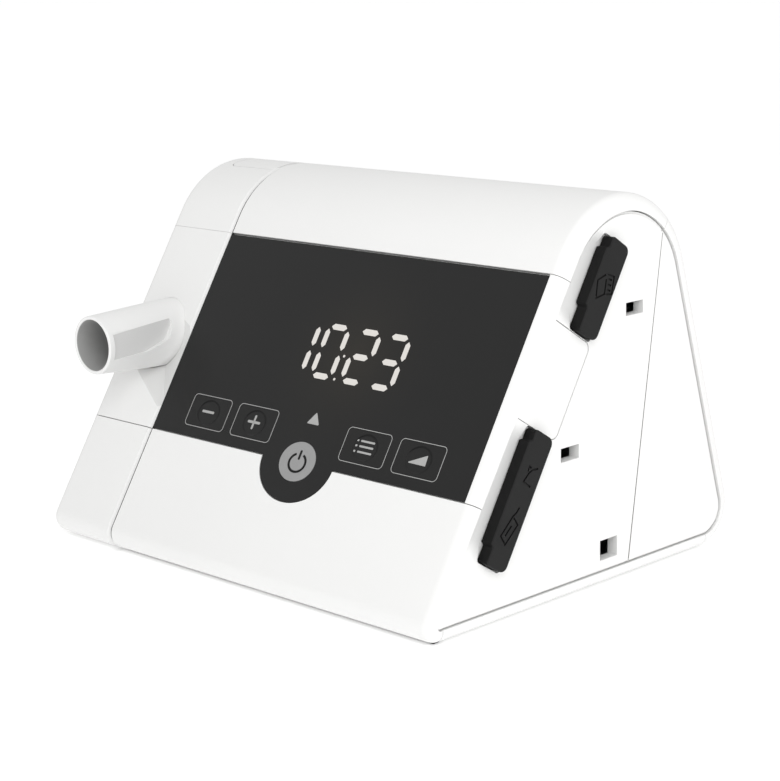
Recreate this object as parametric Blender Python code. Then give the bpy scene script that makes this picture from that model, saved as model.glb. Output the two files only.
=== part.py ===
# Bedside CPAP machine: a wedge-shaped housing with a round ridge, a control panel on its
# sloping front, a pull-off outlet module on its left end and rubber flaps on its right side.
# Lengths are in metres. The housing is drawn from its left end (x), from the centre of the
# ridge's round (y) and from the table (z); one empty then centres the whole on its footprint.
import math
import bpy
import bmesh
from mathutils import Matrix, Vector

# Overall size and outline
overall_height = 0.135
housing_width = 0.1974
slice_width = 0.0371
ridge_radius = 0.0364
front_slope = math.radians(58.15)
back_slope = math.radians(72.7)
front_foot_radius = 0.006
back_foot_radius = 0.0149
foot_height = 0.001
wall = 0.0024
gap = 0.0003
overrun = 0.01

# Rounded rim round the right side, and the round on the left end
rim_width = 0.00435
rim_inset = 0.0054
rim_lip = 0.0006
front_rim_share = 0.56
bottom_rim_share = 0.77
side_panel_thickness = 0.0032
left_round = 0.004

# Seams between the shells
top_seam_drop = 0.0072
lower_cover_length = 0.0390
rear_seam_angle = math.radians(34)
rear_seam_foot_y = 0.0023

# Control panel film and its lobe, an oval like the power key in it
film_thickness = 0.0008
frame_thickness = 0.0018
lobe_radius = 0.0174
oval_share = 0.852
lobe_rise = 0.0005
window_width = 0.062
window_height = 0.024
window_rise = 0.0305

# Keys
key_height = 0.0119
key_gap = 0.00455
key_end_margin = 0.01475
key_centre_clearance = 0.0177
key_corner = 0.0015
key_row_rise = 0.0105
power_key_radius = 0.0086
power_key_rise = 0.0005
key_flange = 0.0009
key_flange_thickness = 0.0008
key_travel = 0.0006

# Boards behind the panel
mat_thickness = 0.0009
board_thickness = 0.0016
board_corner = 0.003
display_board_margin = 0.006
display_board_right_margin = 0.0164
display_board_overhang = 0.011
digit_block_width = 0.054
digit_block_height = 0.022
main_board_depth = 0.014
main_board_width = 0.070
main_board_rise = 0.008
main_board_foot = 0.0267
boss_radius = 0.0032
boss_pin_radius = 0.0018
boss_top_drop = 0.0078
boss_key_clearance = 0.0105
boss_window_clearance = 0.002
ribbon_width = 0.020
ribbon_thickness = 0.0004
ribbon_bend = 0.004

# Flaps on the right side
card_flap_depth = 0.0134
port_flap_depth = 0.0108
flap_step = 0.0014
flap_width = 0.0116
flap_corner = 0.0025
flap_small_corner = 0.0006
flap_stand = 0.003
flap_sink = 0.0017
flap_end_length = 0.0044
flap_clearance = 0.0004
hinge_stand = 0.0005
pocket_lip_share = 0.35
card_flap_rise = 0.0143
card_flap_length = 0.0343
port_flap_rise = 0.0707
port_flap_length = 0.047

# Tab of the display frame between the flaps
tab_drop = 0.0208
tab_depth = 0.0265
tab_corner = 0.0028
tab_sink = 0.0002
tab_lip_share = 0.7

# Sockets and the memory card behind the flaps
card_width = 0.024
card_thickness = 0.0021
card_length = 0.026
card_travel = 0.0012
card_inset = 0.0006
card_socket_end = 0.001
card_socket_width = 0.0275
card_socket_thickness = 0.0042
card_slot_clearance = 0.0004
data_socket_width = 0.0145
data_socket_height = 0.0062
data_socket_length = 0.0140
data_socket_wall = 0.0009
data_socket_drop = 0.0125
module_connector_width = 0.0165
module_connector_height = 0.0052
module_connector_length = 0.012
module_connector_drop = 0.0345
connector_well = 0.004

# Slots in the right side panel
slot_width = 0.0094
slot_heights = (0.0045, 0.0048, 0.0071)
slot_wall_depth = 0.0058
slot_frame = 0.0012
slot_top_y = 0.0044
slot_top_fall = 0.0030
slot_middle_depth = 0.036
slot_low_y = -0.0088
slot_low_rise = 0.0102

# Outlet nozzle and elbow
nozzle_drop = 0.0513
nozzle_tip_radius = 0.011
nozzle_root_radius = 0.0126
nozzle_bore_radius = 0.0096
nozzle_reach = 0.0317
nozzle_taper_length = 0.0325
nozzle_tail = 0.024
nozzle_flat_offset = 0.010
nozzle_flat_margin = 0.0022
nozzle_flat_half_height = 0.0085
nozzle_flat_length = 0.027
elbow_radius = 0.0115
seal_radius = 0.0128
seal_thickness = 0.00235
dent_depth = 0.0052
dent_wall = 0.0016
dent_seam_shares = (-0.19, 2.51)
dent_side_shares = (0.36, 1.2, 0.6, -0.71)
dent_tip_shares = (0.3, 0.69)

# Release button and spring
button_width = 0.0268
button_length = 0.0176
button_offset = -0.0019
button_corner = 0.003
button_thickness = 0.0020
button_travel = 0.003
button_frame = 0.0012
stem_radius = 0.0026
stem_length = 0.0165
stem_clearance = 0.0006
shelf_drop = 0.0165
shelf_thickness = 0.002
spring_wire = 0.0008
spring_turns = 5

# Blower
volute_radius = 0.030
volute_height = 0.022
volute_wall = 0.002
volute_x = 0.090
spigot_offset = 0.018
spigot_radius = 0.0095
spigot_bore = 0.0075
spigot_length = 0.033
duct_radius = 0.0105
duct_bore = 0.0082
inlet_radius = 0.012
shaft_hole_radius = 0.006
impeller_radius = 0.0205
impeller_disc = 0.0012
impeller_height = 0.012
impeller_floor_gap = 0.0006
hub_radius = 0.0048
blade_count = 9
blade_thickness = 0.001
blade_sweep = math.radians(38)
shaft_radius = 0.0014
motor_radius = 0.015
motor_bore = 0.0053
motor_height = 0.016
bearing_height = 0.0035
shaft_top = 0.0015
mount_radius = 0.004
mount_height = 0.005
mount_ring = 0.022
mount_count = 3

# Silencer box under the blower
tray_width = 0.092
tray_depth = 0.068
tray_wall = 0.002
tray_back_y = 0.030
tray_left_x = 0.056
tray_port_width = 0.034
tray_port_height = 0.020
lid_thickness = 0.002
screw_boss_radius = 0.0038
screw_boss_height = 0.010
screw_boss_inset = 0.0050

# Base screws and feet
screw_head_radius = 0.003
screw_head_height = 0.0011
screw_head_sink = 0.0002
screw_radius = 0.0013
screw_length = 0.009
foot_radius = 0.006
foot_thickness = 0.0016
foot_inset = 0.014

# Filters and power inlet at the rear
filter_width = 0.044
filter_height = 0.026
filter_inset = 0.061
filter_rise = 0.029
filter_cover_thickness = 0.002
coarse_filter_thickness = 0.006
fine_filter_thickness = 0.0026
filter_frame = 0.002
filter_lip = 0.004
filter_lip_thickness = 0.0015
vent_count = 6
vent_width = 0.0035
vent_height = 0.015
inlet_inset = 0.028
inlet_rise = 0.021
inlet_size = 0.0114
inlet_flange = 0.0018
inlet_flange_thickness = 0.0015
inlet_length = 0.014
inlet_bore_radius = 0.0032
inlet_bore_depth = 0.009
inlet_pin_radius = 0.001

# Smoothness of the round forms
ridge_steps = 20
foot_steps = 6
rim_steps = 5
round_steps = 4
circle_steps = 24
small_circle_steps = 12
elbow_steps = 6
wire_sides = 1
turn_points = 10
flat_limit = math.radians(0.05)
sharp_limit = math.radians(35)

# Places that follow from the sizes above
rim_start = housing_width - rim_width
rim_wall = rim_inset + rim_lip
panel_back = housing_width - side_panel_thickness
main_left = slice_width + gap / 2
slice_right = slice_width - gap / 2
ridge_z = overall_height - ridge_radius
film_left = main_left + gap
film_right = rim_start - gap
panel_centre = (film_left + film_right) / 2
panel_top = top_seam_drop
front_length = (ridge_z + (ridge_radius - front_foot_radius) * math.cos(front_slope)
                - foot_height - front_foot_radius) / math.sin(front_slope)
back_length = (ridge_z + (ridge_radius - back_foot_radius) * math.cos(back_slope)
               - foot_height - back_foot_radius) / math.sin(back_slope)
panel_bottom = front_length - lower_cover_length
frame_front = film_thickness + gap
frame_back = frame_front + frame_thickness
flange_front = frame_back + gap
flange_back = flange_front + key_flange_thickness
mat_front = flange_back + key_travel + gap
board_front = mat_front + mat_thickness + gap
board_back = board_front + board_thickness
key_row = panel_bottom - key_row_rise
power_key_drop = panel_bottom - power_key_rise
lobe_drop = panel_bottom - lobe_rise
window_drop = key_row - window_rise
key_width = (panel_centre - film_left - key_end_margin - key_centre_clearance - key_gap) / 2
inner_key_offset = key_centre_clearance + key_width / 2
outer_key_offset = inner_key_offset + key_width + key_gap
display_board_left = film_left + display_board_margin
display_board_right = film_right - display_board_right_margin
port_flap_drop = front_length - port_flap_rise
nozzle_x = slice_width / 2
nozzle_height = ridge_z + ridge_radius * math.cos(front_slope) - nozzle_drop * math.sin(front_slope)
shelf_height = overall_height - shelf_drop
filter_x = main_left + filter_inset
filter_drop = back_length - filter_rise
inlet_x = rim_start - inlet_inset
inlet_drop = back_length - inlet_rise
base_top = foot_height + wall
volute_bottom = nozzle_height - volute_height / 2
lid_top = volute_bottom - mount_height - 2 * gap
tray_top = lid_top - lid_thickness - gap
tray_bottom = base_top + gap


# Turn a colour written as a hex string into the linear values that Blender uses
def linear_colour(code):
    channels = [int(code[i:i + 2], 16) / 255 for i in (0, 2, 4)]
    return [((c + 0.055) / 1.055) ** 2.4 if c > 0.04045 else c / 12.92 for c in channels] + [1.0]


def make_material(name, code, roughness, metallic=0.0):
    material = bpy.data.materials.new(name)
    material.use_nodes = True
    shader = material.node_tree.nodes["Principled BSDF"]
    shader.inputs["Base Color"].default_value = linear_colour(code)
    shader.inputs["Roughness"].default_value = roughness
    shader.inputs["Metallic"].default_value = metallic
    material.diffuse_color = linear_colour(code)
    return material


# Put a finished mesh in the scene under the empty that carries the whole machine
def place(name, mesh, material):
    thing = bpy.data.objects.new(name, mesh)
    bpy.context.scene.collection.objects.link(thing)
    thing.parent = bpy.data.objects["machine"]
    if material:
        thing.data.materials.append(material)
    else:
        thing.hide_render = True
        thing.display_type = "WIRE"
    return thing


# Loft a closed solid through loops that have the same number of points
def loft(name, loops, material=None):
    shape = bmesh.new()
    rows = [[shape.verts.new(point) for point in loop] for loop in loops]
    count = len(rows[0])
    for low, high in zip(rows, rows[1:]):
        for i in range(count):
            j = (i + 1) % count
            shape.faces.new((low[i], low[j], high[j], high[i]))
    shape.faces.new(rows[0])
    shape.faces.new(rows[-1])
    return finish(name, shape, material)


# Close rings of rows into a tube wall: each row is a closed loop, and the last meets the first
def tube_wall(name, rows, material=None):
    shape = bmesh.new()
    rings = [[shape.verts.new(point) for point in row] for row in rows]
    for ring, other in zip(rings, rings[1:] + rings[:1]):
        for i in range(len(ring)):
            j = (i + 1) % len(ring)
            shape.faces.new((ring[i], ring[j], other[j], other[i]))
    return finish(name, shape, material)


# Close a mesh off: split faces that aren't flat, turn all faces outwards, and mark sharp edges
def finish(name, shape, material):
    bmesh.ops.connect_verts_nonplanar(shape, angle_limit=flat_limit, faces=shape.faces)
    bmesh.ops.recalc_face_normals(shape, faces=shape.faces)
    mesh = bpy.data.meshes.new(name)
    shape.to_mesh(mesh)
    shape.free()
    mesh.shade_smooth()
    mesh.set_sharp_from_angle(angle=sharp_limit)
    return place(name, mesh, material)


def combine(target, tool, operation="DIFFERENCE"):
    step = target.modifiers.new(tool.name, "BOOLEAN")
    step.operation = operation
    step.object = tool
    return target


# Give a moving piece its origin on its joint's axis
def pivot(thing, point):
    thing.data.transform(Matrix.Translation(-Vector(point)))
    thing.location = point
    return thing


def circle(radius, steps=circle_steps, start=0.0):
    return [(radius * math.cos(start + math.tau * i / steps),
             radius * math.sin(start + math.tau * i / steps)) for i in range(steps)]


# Round each corner of a flat outline; corners are (u, v, radius)
def rounded(corners, steps=round_steps):
    outline = []
    for i, (u, v, radius) in enumerate(corners):
        here = Vector((u, v))
        before = Vector(corners[i - 1][:2]) - here
        after = Vector(corners[(i + 1) % len(corners)][:2]) - here
        if radius == 0:
            outline.append((u, v))
            continue
        half = before.angle(after) / 2
        middle = (before.normalized() + after.normalized()).normalized()
        centre = here + middle * radius / math.sin(half)
        start = here + before.normalized() * radius / math.tan(half) - centre
        stop = here + after.normalized() * radius / math.tan(half) - centre
        for k in range(steps + 1):
            arm = start.slerp(stop, k / steps)
            outline.append(tuple(centre + arm.normalized() * radius))
    return outline


def rounded_box(u, v, width, height, radius, steps=round_steps):
    sides = ((-1, -1), (1, -1), (1, 1), (-1, 1))
    return rounded([(u + a * width / 2, v + b * height / 2, radius) for a, b in sides], steps)


# A point on the sloping front: x, distance down from the ridge's round, depth below the face
def on_front(x, drop, depth):
    sine, cosine = math.sin(front_slope), math.cos(front_slope)
    y = -ridge_radius * sine - drop * cosine + depth * sine
    z = ridge_z + ridge_radius * cosine - drop * sine - depth * cosine
    return Vector((x, y, z))


# The same on the sloping back
def on_back(x, drop, depth):
    sine, cosine = math.sin(back_slope), math.cos(back_slope)
    y = ridge_radius * sine + drop * cosine - depth * sine
    z = ridge_z + ridge_radius * cosine - drop * sine - depth * cosine
    return Vector((x, y, z))


def front_block(name, outline, near, far, material=None):
    return loft(name, [[on_front(x, drop, depth) for x, drop in outline] for depth in (near, far)], material)


def side_block(name, outline, near, far, material=None):
    return loft(name, [[on_front(x, drop, depth) for drop, depth in outline] for x in (near, far)], material)


def flat_block(name, outline, near, far, material=None):
    return loft(name, [[Vector((x, y, z)) for x, y in outline] for z in (near, far)], material)


def box(name, low, high, material=None):
    outline = ((low[0], low[1]), (high[0], low[1]), (high[0], high[1]), (low[0], high[1]))
    return flat_block(name, outline, low[2], high[2], material)


def upright(name, x, y, stages, material=None, steps=circle_steps):
    loops = [[Vector((x + a, y + b, z)) for a, b in circle(radius, steps)] for radius, z in stages]
    return loft(name, loops, material)


# Runs along the housing's outline: each point is (y, z, inward y, inward z, share of the rim)
def round_run(centre_y, centre_z, radius, start, stop, shares, steps):
    points = []
    for i in range(steps + 1):
        angle = start + (stop - start) * i / steps
        share = shares[0] + (shares[1] - shares[0]) * i / steps
        sine, cosine = math.sin(angle), math.cos(angle)
        points.append((centre_y + radius * sine, centre_z + radius * cosine, -sine, -cosine, share))
    return points


def ridge_run(start, stop):
    steps = max(2, round(ridge_steps * abs(stop - start) / (front_slope + back_slope)))
    return round_run(0, ridge_z, ridge_radius, start, stop, (1, 1), steps)


front_foot_y = on_front(0, front_length, front_foot_radius).y
back_foot_y = on_back(0, back_length, back_foot_radius).y
front_extreme = front_foot_y - front_foot_radius
back_extreme = back_foot_y + back_foot_radius


def front_share(drop):
    return 1 + (front_rim_share - 1) * drop / front_length


def front_run(start, stop):
    points = []
    for drop in (start, stop):
        place_on = on_front(0, drop, 0)
        points.append((place_on.y, place_on.z, math.sin(front_slope), -math.cos(front_slope),
                       front_share(drop)))
    return points


def front_foot_run():
    return round_run(front_foot_y, foot_height + front_foot_radius, front_foot_radius,
                     -front_slope, -math.pi, (front_rim_share, bottom_rim_share), foot_steps)


def bottom_run(start, stop):
    return [(y, foot_height, 0, 1, bottom_rim_share) for y in (start, stop)]


def back_foot_run():
    return round_run(back_foot_y, foot_height + back_foot_radius, back_foot_radius,
                     math.pi, back_slope, (bottom_rim_share, 1), foot_steps)


def back_run():
    points = []
    for drop in (back_length, 0):
        place_on = on_back(0, drop, 0)
        points.append((place_on.y, place_on.z, -math.sin(back_slope), -math.cos(back_slope), 1))
    return points


# Drop points that repeat where two runs meet
def chain(*runs):
    points = []
    for run in runs:
        for point in run:
            if not points or math.dist(points[-1][:2], point[:2]) > gap / 3:
                points.append(point)
    return points


# A strip of shell along a run. Each station is (x, outer inset, outer rim, inner inset, inner rim)
def strip(name, run, stations, material):
    shape = bmesh.new()
    grid = []
    for x, outer, outer_rim, inner, inner_rim in stations:
        row = []
        for y, z, ny, nz, share in run:
            for inset in (outer + outer_rim * share, max(inner, inner_rim * share)):
                row.append(shape.verts.new((x, y + ny * inset, z + nz * inset)))
        grid.append(row)
    last = len(run) - 1
    for row, other in zip(grid, grid[1:]):
        for i in range(last):
            for side in (0, 1):
                a, b = 2 * i + side, 2 * i + 2 + side
                shape.faces.new((row[a], row[b], other[b], other[a]))
        for i in (0, last):
            shape.faces.new((row[2 * i], row[2 * i + 1], other[2 * i + 1], other[2 * i]))
    for row in (grid[0], grid[-1]):
        for i in range(last):
            shape.faces.new((row[2 * i], row[2 * i + 1], row[2 * i + 3], row[2 * i + 2]))
    return finish(name, shape, material)


# Stations of a main shell: plain up to the rim, then the rim's quarter round
def main_stations(inner, skin=0.0):
    taper_start = rim_start - rim_width
    taper_end = panel_back - gap
    stations = [(main_left, skin, 0, inner, 0), (taper_start, skin, 0, inner, 0)]
    if skin:
        stations.append((rim_start, skin, 0, inner, rim_wall * rim_width / (taper_end - taper_start)))
    for i in range(rim_steps + 1):
        angle = math.pi / 2 * i / rim_steps
        x = rim_start + rim_width * math.sin(angle)
        taper = min(1, (x - taper_start) / (taper_end - taper_start))
        stations.append((x, 0, rim_inset * (1 - math.cos(angle)), inner, rim_wall * taper))
    return stations


# Stations of an outlet module shell: the left round, then plain up to the seam
def slice_stations():
    stations = []
    for i in range(rim_steps + 1):
        angle = math.pi / 2 * i / rim_steps
        x = left_round * (1 - math.cos(angle))
        stations.append((x, left_round * (1 - math.sin(angle)), 0, left_round + rim_lip, 0))
    stations.append((left_round + wall, 0, 0, wall, 0))
    stations.append((slice_right, 0, 0, wall, 0))
    return stations


def inset_outline(run, inset, rim):
    return [(y + ny * (inset + rim * share), z + nz * (inset + rim * share)) for y, z, ny, nz, share in run]


def profile_block(name, outline, near, far, material=None):
    return loft(name, [[Vector((x, y, z)) for y, z in outline] for x in (near, far)], material)


def whole_outline(inset):
    run = chain(ridge_run(back_slope, -front_slope), front_run(0, front_length), front_foot_run(),
                bottom_run(front_foot_y, back_foot_y), back_foot_run(), back_run())
    return inset_outline(run[:-1], inset, 0)


# The line within the rim's lip where the flaps' pockets begin, as a depth below the sloping front
def rim_depth(drop):
    inset = rim_inset + rim_lip * pocket_lip_share
    if drop < 0:
        return ridge_radius - math.sqrt((ridge_radius - inset) ** 2 - drop ** 2)
    return inset * front_share(drop)


# Pocket under a flap: flat under the flap and rising to the rim in front of it
def flap_pocket(name, drop, length, depth):
    loops = []
    floor = housing_width - flap_sink - gap
    front = depth - flap_clearance
    back = depth + flap_width + flap_clearance
    for end in (drop - flap_clearance, drop + length + flap_clearance):
        edge = min(rim_depth(end), front - gap)
        outline = ((edge, housing_width + overrun), (edge, housing_width), (front, floor),
                   (back, floor), (back, housing_width + overrun))
        loops.append([on_front(x, end, inset) for inset, x in outline])
    return loft(name, loops)


# A rubber flap: its front edge steps forward between the two ends
def flap_outline(drop, length, front):
    back, step = front + flap_width, front + flap_step
    first, last = drop + flap_end_length, drop + length - flap_end_length
    corners = [(drop, step, flap_small_corner), (first, step, 0), (first, front, 0), (last, front, 0),
               (last, step, 0), (drop + length, step, flap_small_corner),
               (drop + length, back, flap_corner), (drop, back, flap_corner)]
    return rounded(corners)


def make_flap(name, drop, length, depth, material):
    flap = side_block(name, flap_outline(drop, length, depth), housing_width - flap_sink,
                      housing_width + flap_stand, material)
    return pivot(flap, on_front(housing_width + hinge_stand, drop + length / 2, depth))


def tab_outline(grow, front=None):
    start, stop = tab_drop - grow, port_flap_drop - flap_clearance - gap / 2 + grow
    root = rim_inset + rim_lip * tab_lip_share
    edges = [front if front is not None else root * front_share(drop) for drop in (start, stop)]
    depth = tab_depth + grow
    return rounded([(start, edges[0], 0), (start, depth, tab_corner + grow),
                    (stop, depth, tab_corner + grow), (stop, edges[1], 0)])


# The five keys, as name, centre and outline
def key_places():
    places = []
    offsets = (("minus_key", -outer_key_offset), ("plus_key", -inner_key_offset),
               ("list_key", inner_key_offset), ("ramp_key", outer_key_offset))
    for name, offset in offsets:
        places.append((name, panel_centre + offset, key_row))
    places.append(("power_key", panel_centre, power_key_drop))
    return places


def key_outline(name, x, drop, grow):
    if name == "power_key":
        return [(x + a, drop + b * oval_share) for a, b in circle(power_key_radius + grow)]
    return rounded_box(x, drop, key_width + 2 * grow, key_height + 2 * grow, key_corner + grow)


def key_hole(name, x, drop):
    return front_block(name + "_hole", key_outline(name, x, drop, gap), -overrun, flange_front - gap / 2)


def make_keys(material, power_material):
    for name, x, drop in key_places():
        stages = ((0, -gap), (flange_front, -gap), (flange_front, key_flange), (flange_back, key_flange))
        loops = []
        for depth, grow in stages:
            loops.append([on_front(a, b, depth) for a, b in key_outline(name, x, drop, grow)])
        key = loft(name, loops, power_material if name == "power_key" else material)
        pivot(key, on_front(x, drop, 0))


def film_outline():
    start = math.asin((panel_bottom - gap - lobe_drop) / lobe_radius / oval_share)
    reach = lobe_radius * math.cos(start)
    lobe = []
    for i in range(circle_steps + 1):
        angle = start + (math.pi - 2 * start) * i / circle_steps
        lobe.append((panel_centre + lobe_radius * math.cos(angle),
                     lobe_drop + lobe_radius * oval_share * math.sin(angle)))
    lobe[0] = (panel_centre + reach, panel_bottom - gap)
    lobe[-1] = (panel_centre - reach, panel_bottom - gap)
    return [(film_left, panel_top + gap), (film_right, panel_top + gap),
            (film_right, panel_bottom - gap)] + lobe + [(film_left, panel_bottom - gap)]


def make_film(material):
    film = front_block("control_panel_film", film_outline(), 0, film_thickness, material)
    for name, x, drop in key_places():
        combine(film, front_block(name + "_window", key_outline(name, x, drop, 0), -overrun, overrun))


def stepped_boss(name, x, drop, far):
    stages = ((boss_radius, frame_front + gap), (boss_radius, board_front - gap))
    if far:
        stages += ((boss_pin_radius, board_front - gap), (boss_pin_radius, main_board_depth - gap))
    loops = []
    for radius, depth in stages:
        loops.append([on_front(x + a, drop + b, depth) for a, b in circle(radius, small_circle_steps)])
    return loft(name, loops)


def boss_places():
    columns = (display_board_right - boss_radius, panel_centre + window_width / 2 + boss_window_clearance
               + boss_radius, display_board_left + boss_radius)
    places = []
    for column, x in enumerate(columns):
        for row, drop in enumerate((panel_top + boss_top_drop, key_row - boss_key_clearance)):
            places.append((f"boss_{column}_{row}", x, drop, column < 2))
    return places


def make_display_frame(material):
    run = front_run(panel_top + gap / 2, panel_bottom - gap / 2)
    frame = strip("display_frame", run, main_stations(frame_back, frame_front), material)
    tab = side_block("frame_tab", tab_outline(0), panel_back, housing_width - tab_sink)
    combine(frame, tab, "UNION")
    for name, x, drop, far in boss_places():
        combine(frame, stepped_boss(name, x, drop, far), "UNION")
    window = rounded_box(panel_centre, window_drop, window_width, window_height, key_corner)
    combine(frame, front_block("digit_window", window, -overrun, frame_back + overrun / 2))
    for name, x, drop in key_places():
        combine(frame, key_hole(name, x, drop))
    return frame


def make_lower_front(material):
    run = chain(front_run(panel_bottom + gap / 2, front_length), front_foot_run())
    cover = strip("lower_front_cover", run, main_stations(wall), material)
    lobe = [(panel_centre + a, lobe_drop + b * oval_share)
            for a, b in circle(lobe_radius + gap / oval_share, 2 * circle_steps)]
    combine(cover, front_block("lobe_recess", lobe, -overrun, frame_front))
    combine(cover, bpy.data.objects["power_key_hole"])
    return cover


def slot_places():
    middle = on_front(housing_width, port_flap_drop, slot_middle_depth)
    places = ((slot_top_y, ridge_z - slot_top_fall), (middle.y, middle.z), (slot_low_y, base_top + slot_low_rise))
    return [(y, z, height) for (y, z), height in zip(places, slot_heights)]


# Side panels: front and rear parts meet on the leaning seam
def make_side_panels(material):
    inset = gap
    front = chain(ridge_run(rear_seam_angle, -front_slope), front_run(0, front_length), front_foot_run(),
                  bottom_run(front_foot_y, rear_seam_foot_y - gap / 2))
    rear = chain(bottom_run(rear_seam_foot_y + gap / 2, back_foot_y), back_foot_run(), back_run(),
                 ridge_run(back_slope, rear_seam_angle + gap / ridge_radius))
    panel = profile_block("right_side_panel", inset_outline(front, inset, rim_wall), panel_back,
                          housing_width, material)
    profile_block("rear_side_panel", inset_outline(rear, inset, rim_wall), panel_back,
                  housing_width, material)
    for i, (y, z, height) in enumerate(slot_places()):
        half_y, half_z = slot_width / 2 + slot_frame, height / 2 + slot_frame
        frame = box(f"slot_frame_{i}", (housing_width - slot_wall_depth, y - half_y, z - half_z),
                    (panel_back + gap, y + half_y, z + half_z))
        combine(panel, frame, "UNION")
    for i, (y, z, height) in enumerate(slot_places()):
        hole = box(f"slot_hole_{i}", (panel_back - overrun, y - slot_width / 2, z - height / 2),
                   (housing_width + overrun, y + slot_width / 2, z + height / 2))
        combine(panel, hole)
    cutout = side_block("tab_cutout", tab_outline(gap, 0), panel_back - overrun, housing_width + overrun)
    combine(panel, cutout)
    return panel


def port_hole(name, drop, depth, width, height):
    outline = rounded_box(drop, depth, width, height, flap_small_corner)
    return side_block(name, outline, panel_back - overrun, housing_width + overrun)


def socket_depth(thickness):
    return main_board_depth + board_thickness + gap + thickness / 2


def card_drop():
    return card_flap_length / 2 - card_flap_rise


def make_main_shells(material):
    run = chain(ridge_run(rear_seam_angle - gap / 2 / ridge_radius, -front_slope),
                front_run(0, panel_top - gap / 2))
    top = strip("top_cover", run, main_stations(wall), material)
    frame = make_display_frame(material)
    lower = make_lower_front(material)
    panel = make_side_panels(material)
    card_pocket = flap_pocket("card_flap_pocket", -card_flap_rise, card_flap_length, card_flap_depth)
    port_pocket = flap_pocket("port_flap_pocket", port_flap_drop, port_flap_length, port_flap_depth)
    for shell, pockets in ((top, (card_pocket,)), (frame, (card_pocket, port_pocket)),
                           (lower, (port_pocket,)), (panel, (card_pocket, port_pocket))):
        for pocket in pockets:
            combine(shell, pocket)
    combine(panel, port_hole("card_slot", card_drop(), socket_depth(card_socket_thickness),
                             card_width + 2 * card_slot_clearance, card_thickness + 2 * card_slot_clearance))
    combine(panel, port_hole("data_port", port_flap_drop + data_socket_drop,
                             socket_depth(data_socket_height), data_socket_width, data_socket_height))
    combine(panel, port_hole("module_port", port_flap_drop + module_connector_drop,
                             socket_depth(module_connector_height), module_connector_width,
                             module_connector_height))
    make_base(material)
    make_rear_housing(material)


def foot_places():
    places = []
    for x in (main_left + foot_inset, rim_start - foot_inset):
        for y in (front_foot_y + foot_inset, back_foot_y - foot_inset):
            places.append((x, y))
    return places


def screw_places():
    places = []
    for x in (tray_left_x + screw_boss_inset, tray_left_x + tray_width - screw_boss_inset):
        for y in (tray_back_y - tray_depth + screw_boss_inset, tray_back_y - screw_boss_inset):
            places.append((x, y))
    return places


def make_base(material):
    run = bottom_run(front_foot_y + gap, back_foot_y - gap)
    base = strip("base_plate", run, main_stations(wall), material)
    for i, (x, y) in enumerate(foot_places()):
        stages = ((foot_radius + gap, -overrun), (foot_radius + gap, foot_thickness + gap))
        combine(base, upright(f"foot_recess_{i}", x, y, stages))
    for i, (x, y) in enumerate(screw_places()):
        head = screw_head_radius + gap
        sink = foot_height + screw_head_sink + screw_head_height + gap
        stages = ((head, -overrun), (head, sink), (screw_radius + gap, sink), (screw_radius + gap, base_top + gap))
        combine(base, upright(f"screw_hole_{i}", x, y, stages, steps=small_circle_steps))
    return base


def back_block(name, x, drop, width, height, near, far, material=None):
    outline = rounded_box(x, drop, width, height, gap, 1)
    return loft(name, [[on_back(a, b, depth) for a, b in outline] for depth in (near, far)], material)


def make_rear_housing(material):
    run = chain(back_foot_run(), back_run(), ridge_run(back_slope, rear_seam_angle + gap / 2 / ridge_radius))
    rear = strip("rear_housing", run, main_stations(wall), material)
    depth = (filter_cover_thickness + coarse_filter_thickness + fine_filter_thickness + 3 * gap)
    width, height = filter_width + 2 * gap, filter_height + 2 * gap
    frame = back_block("filter_frame", filter_x, filter_drop, width + 2 * filter_frame,
                       height + 2 * filter_frame, wall / 2, depth + filter_lip_thickness)
    combine(rear, frame, "UNION")
    combine(rear, back_block("filter_well", filter_x, filter_drop, width, height, -overrun, depth))
    combine(rear, back_block("filter_lip", filter_x, filter_drop, width - 2 * filter_lip,
                             height - 2 * filter_lip, -overrun, depth + overrun))
    side = inlet_size + 2 * gap
    combine(rear, back_block("inlet_hole", inlet_x, inlet_drop, side, side, -overrun, wall + gap))
    return rear


def make_filters(material, foam, paper):
    cover = back_block("filter_cover", filter_x, filter_drop, filter_width, filter_height, 0,
                       filter_cover_thickness, material)
    pitch = filter_width / (vent_count + 1)
    for i in range(vent_count):
        x = filter_x - filter_width / 2 + pitch * (i + 1)
        combine(cover, back_block(f"vent_{i}", x, filter_drop, vent_width, vent_height, -overrun, overrun))
    pivot(cover, on_back(filter_x, filter_drop + filter_height / 2, 0))
    depth = filter_cover_thickness + gap
    back_block("coarse_filter", filter_x, filter_drop, filter_width, filter_height, depth,
               depth + coarse_filter_thickness, foam)
    depth += coarse_filter_thickness + gap
    back_block("fine_filter", filter_x, filter_drop, filter_width, filter_height, depth,
               depth + fine_filter_thickness, paper)


def make_power_inlet(material):
    half = inlet_size / 2
    stages = ((0, half), (wall + gap, half), (wall + gap, half + inlet_flange),
              (wall + gap + inlet_flange_thickness, half + inlet_flange),
              (wall + gap + inlet_flange_thickness, half), (inlet_length, half))
    sides = ((-1, -1), (1, -1), (1, 1), (-1, 1))
    loops = [[on_back(inlet_x + a * r, inlet_drop + b * r, depth) for a, b in sides] for depth, r in stages]
    socket = loft("power_inlet_socket", loops, material)
    rows = []
    for depth, radius in ((-overrun, inlet_bore_radius), (inlet_bore_depth, inlet_bore_radius),
                          (inlet_bore_depth, inlet_pin_radius), (-overrun, inlet_pin_radius)):
        rows.append([on_back(inlet_x + a, inlet_drop + b, depth) for a, b in circle(radius, small_circle_steps)])
    combine(socket, tube_wall("inlet_bore", rows))
    return socket


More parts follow.
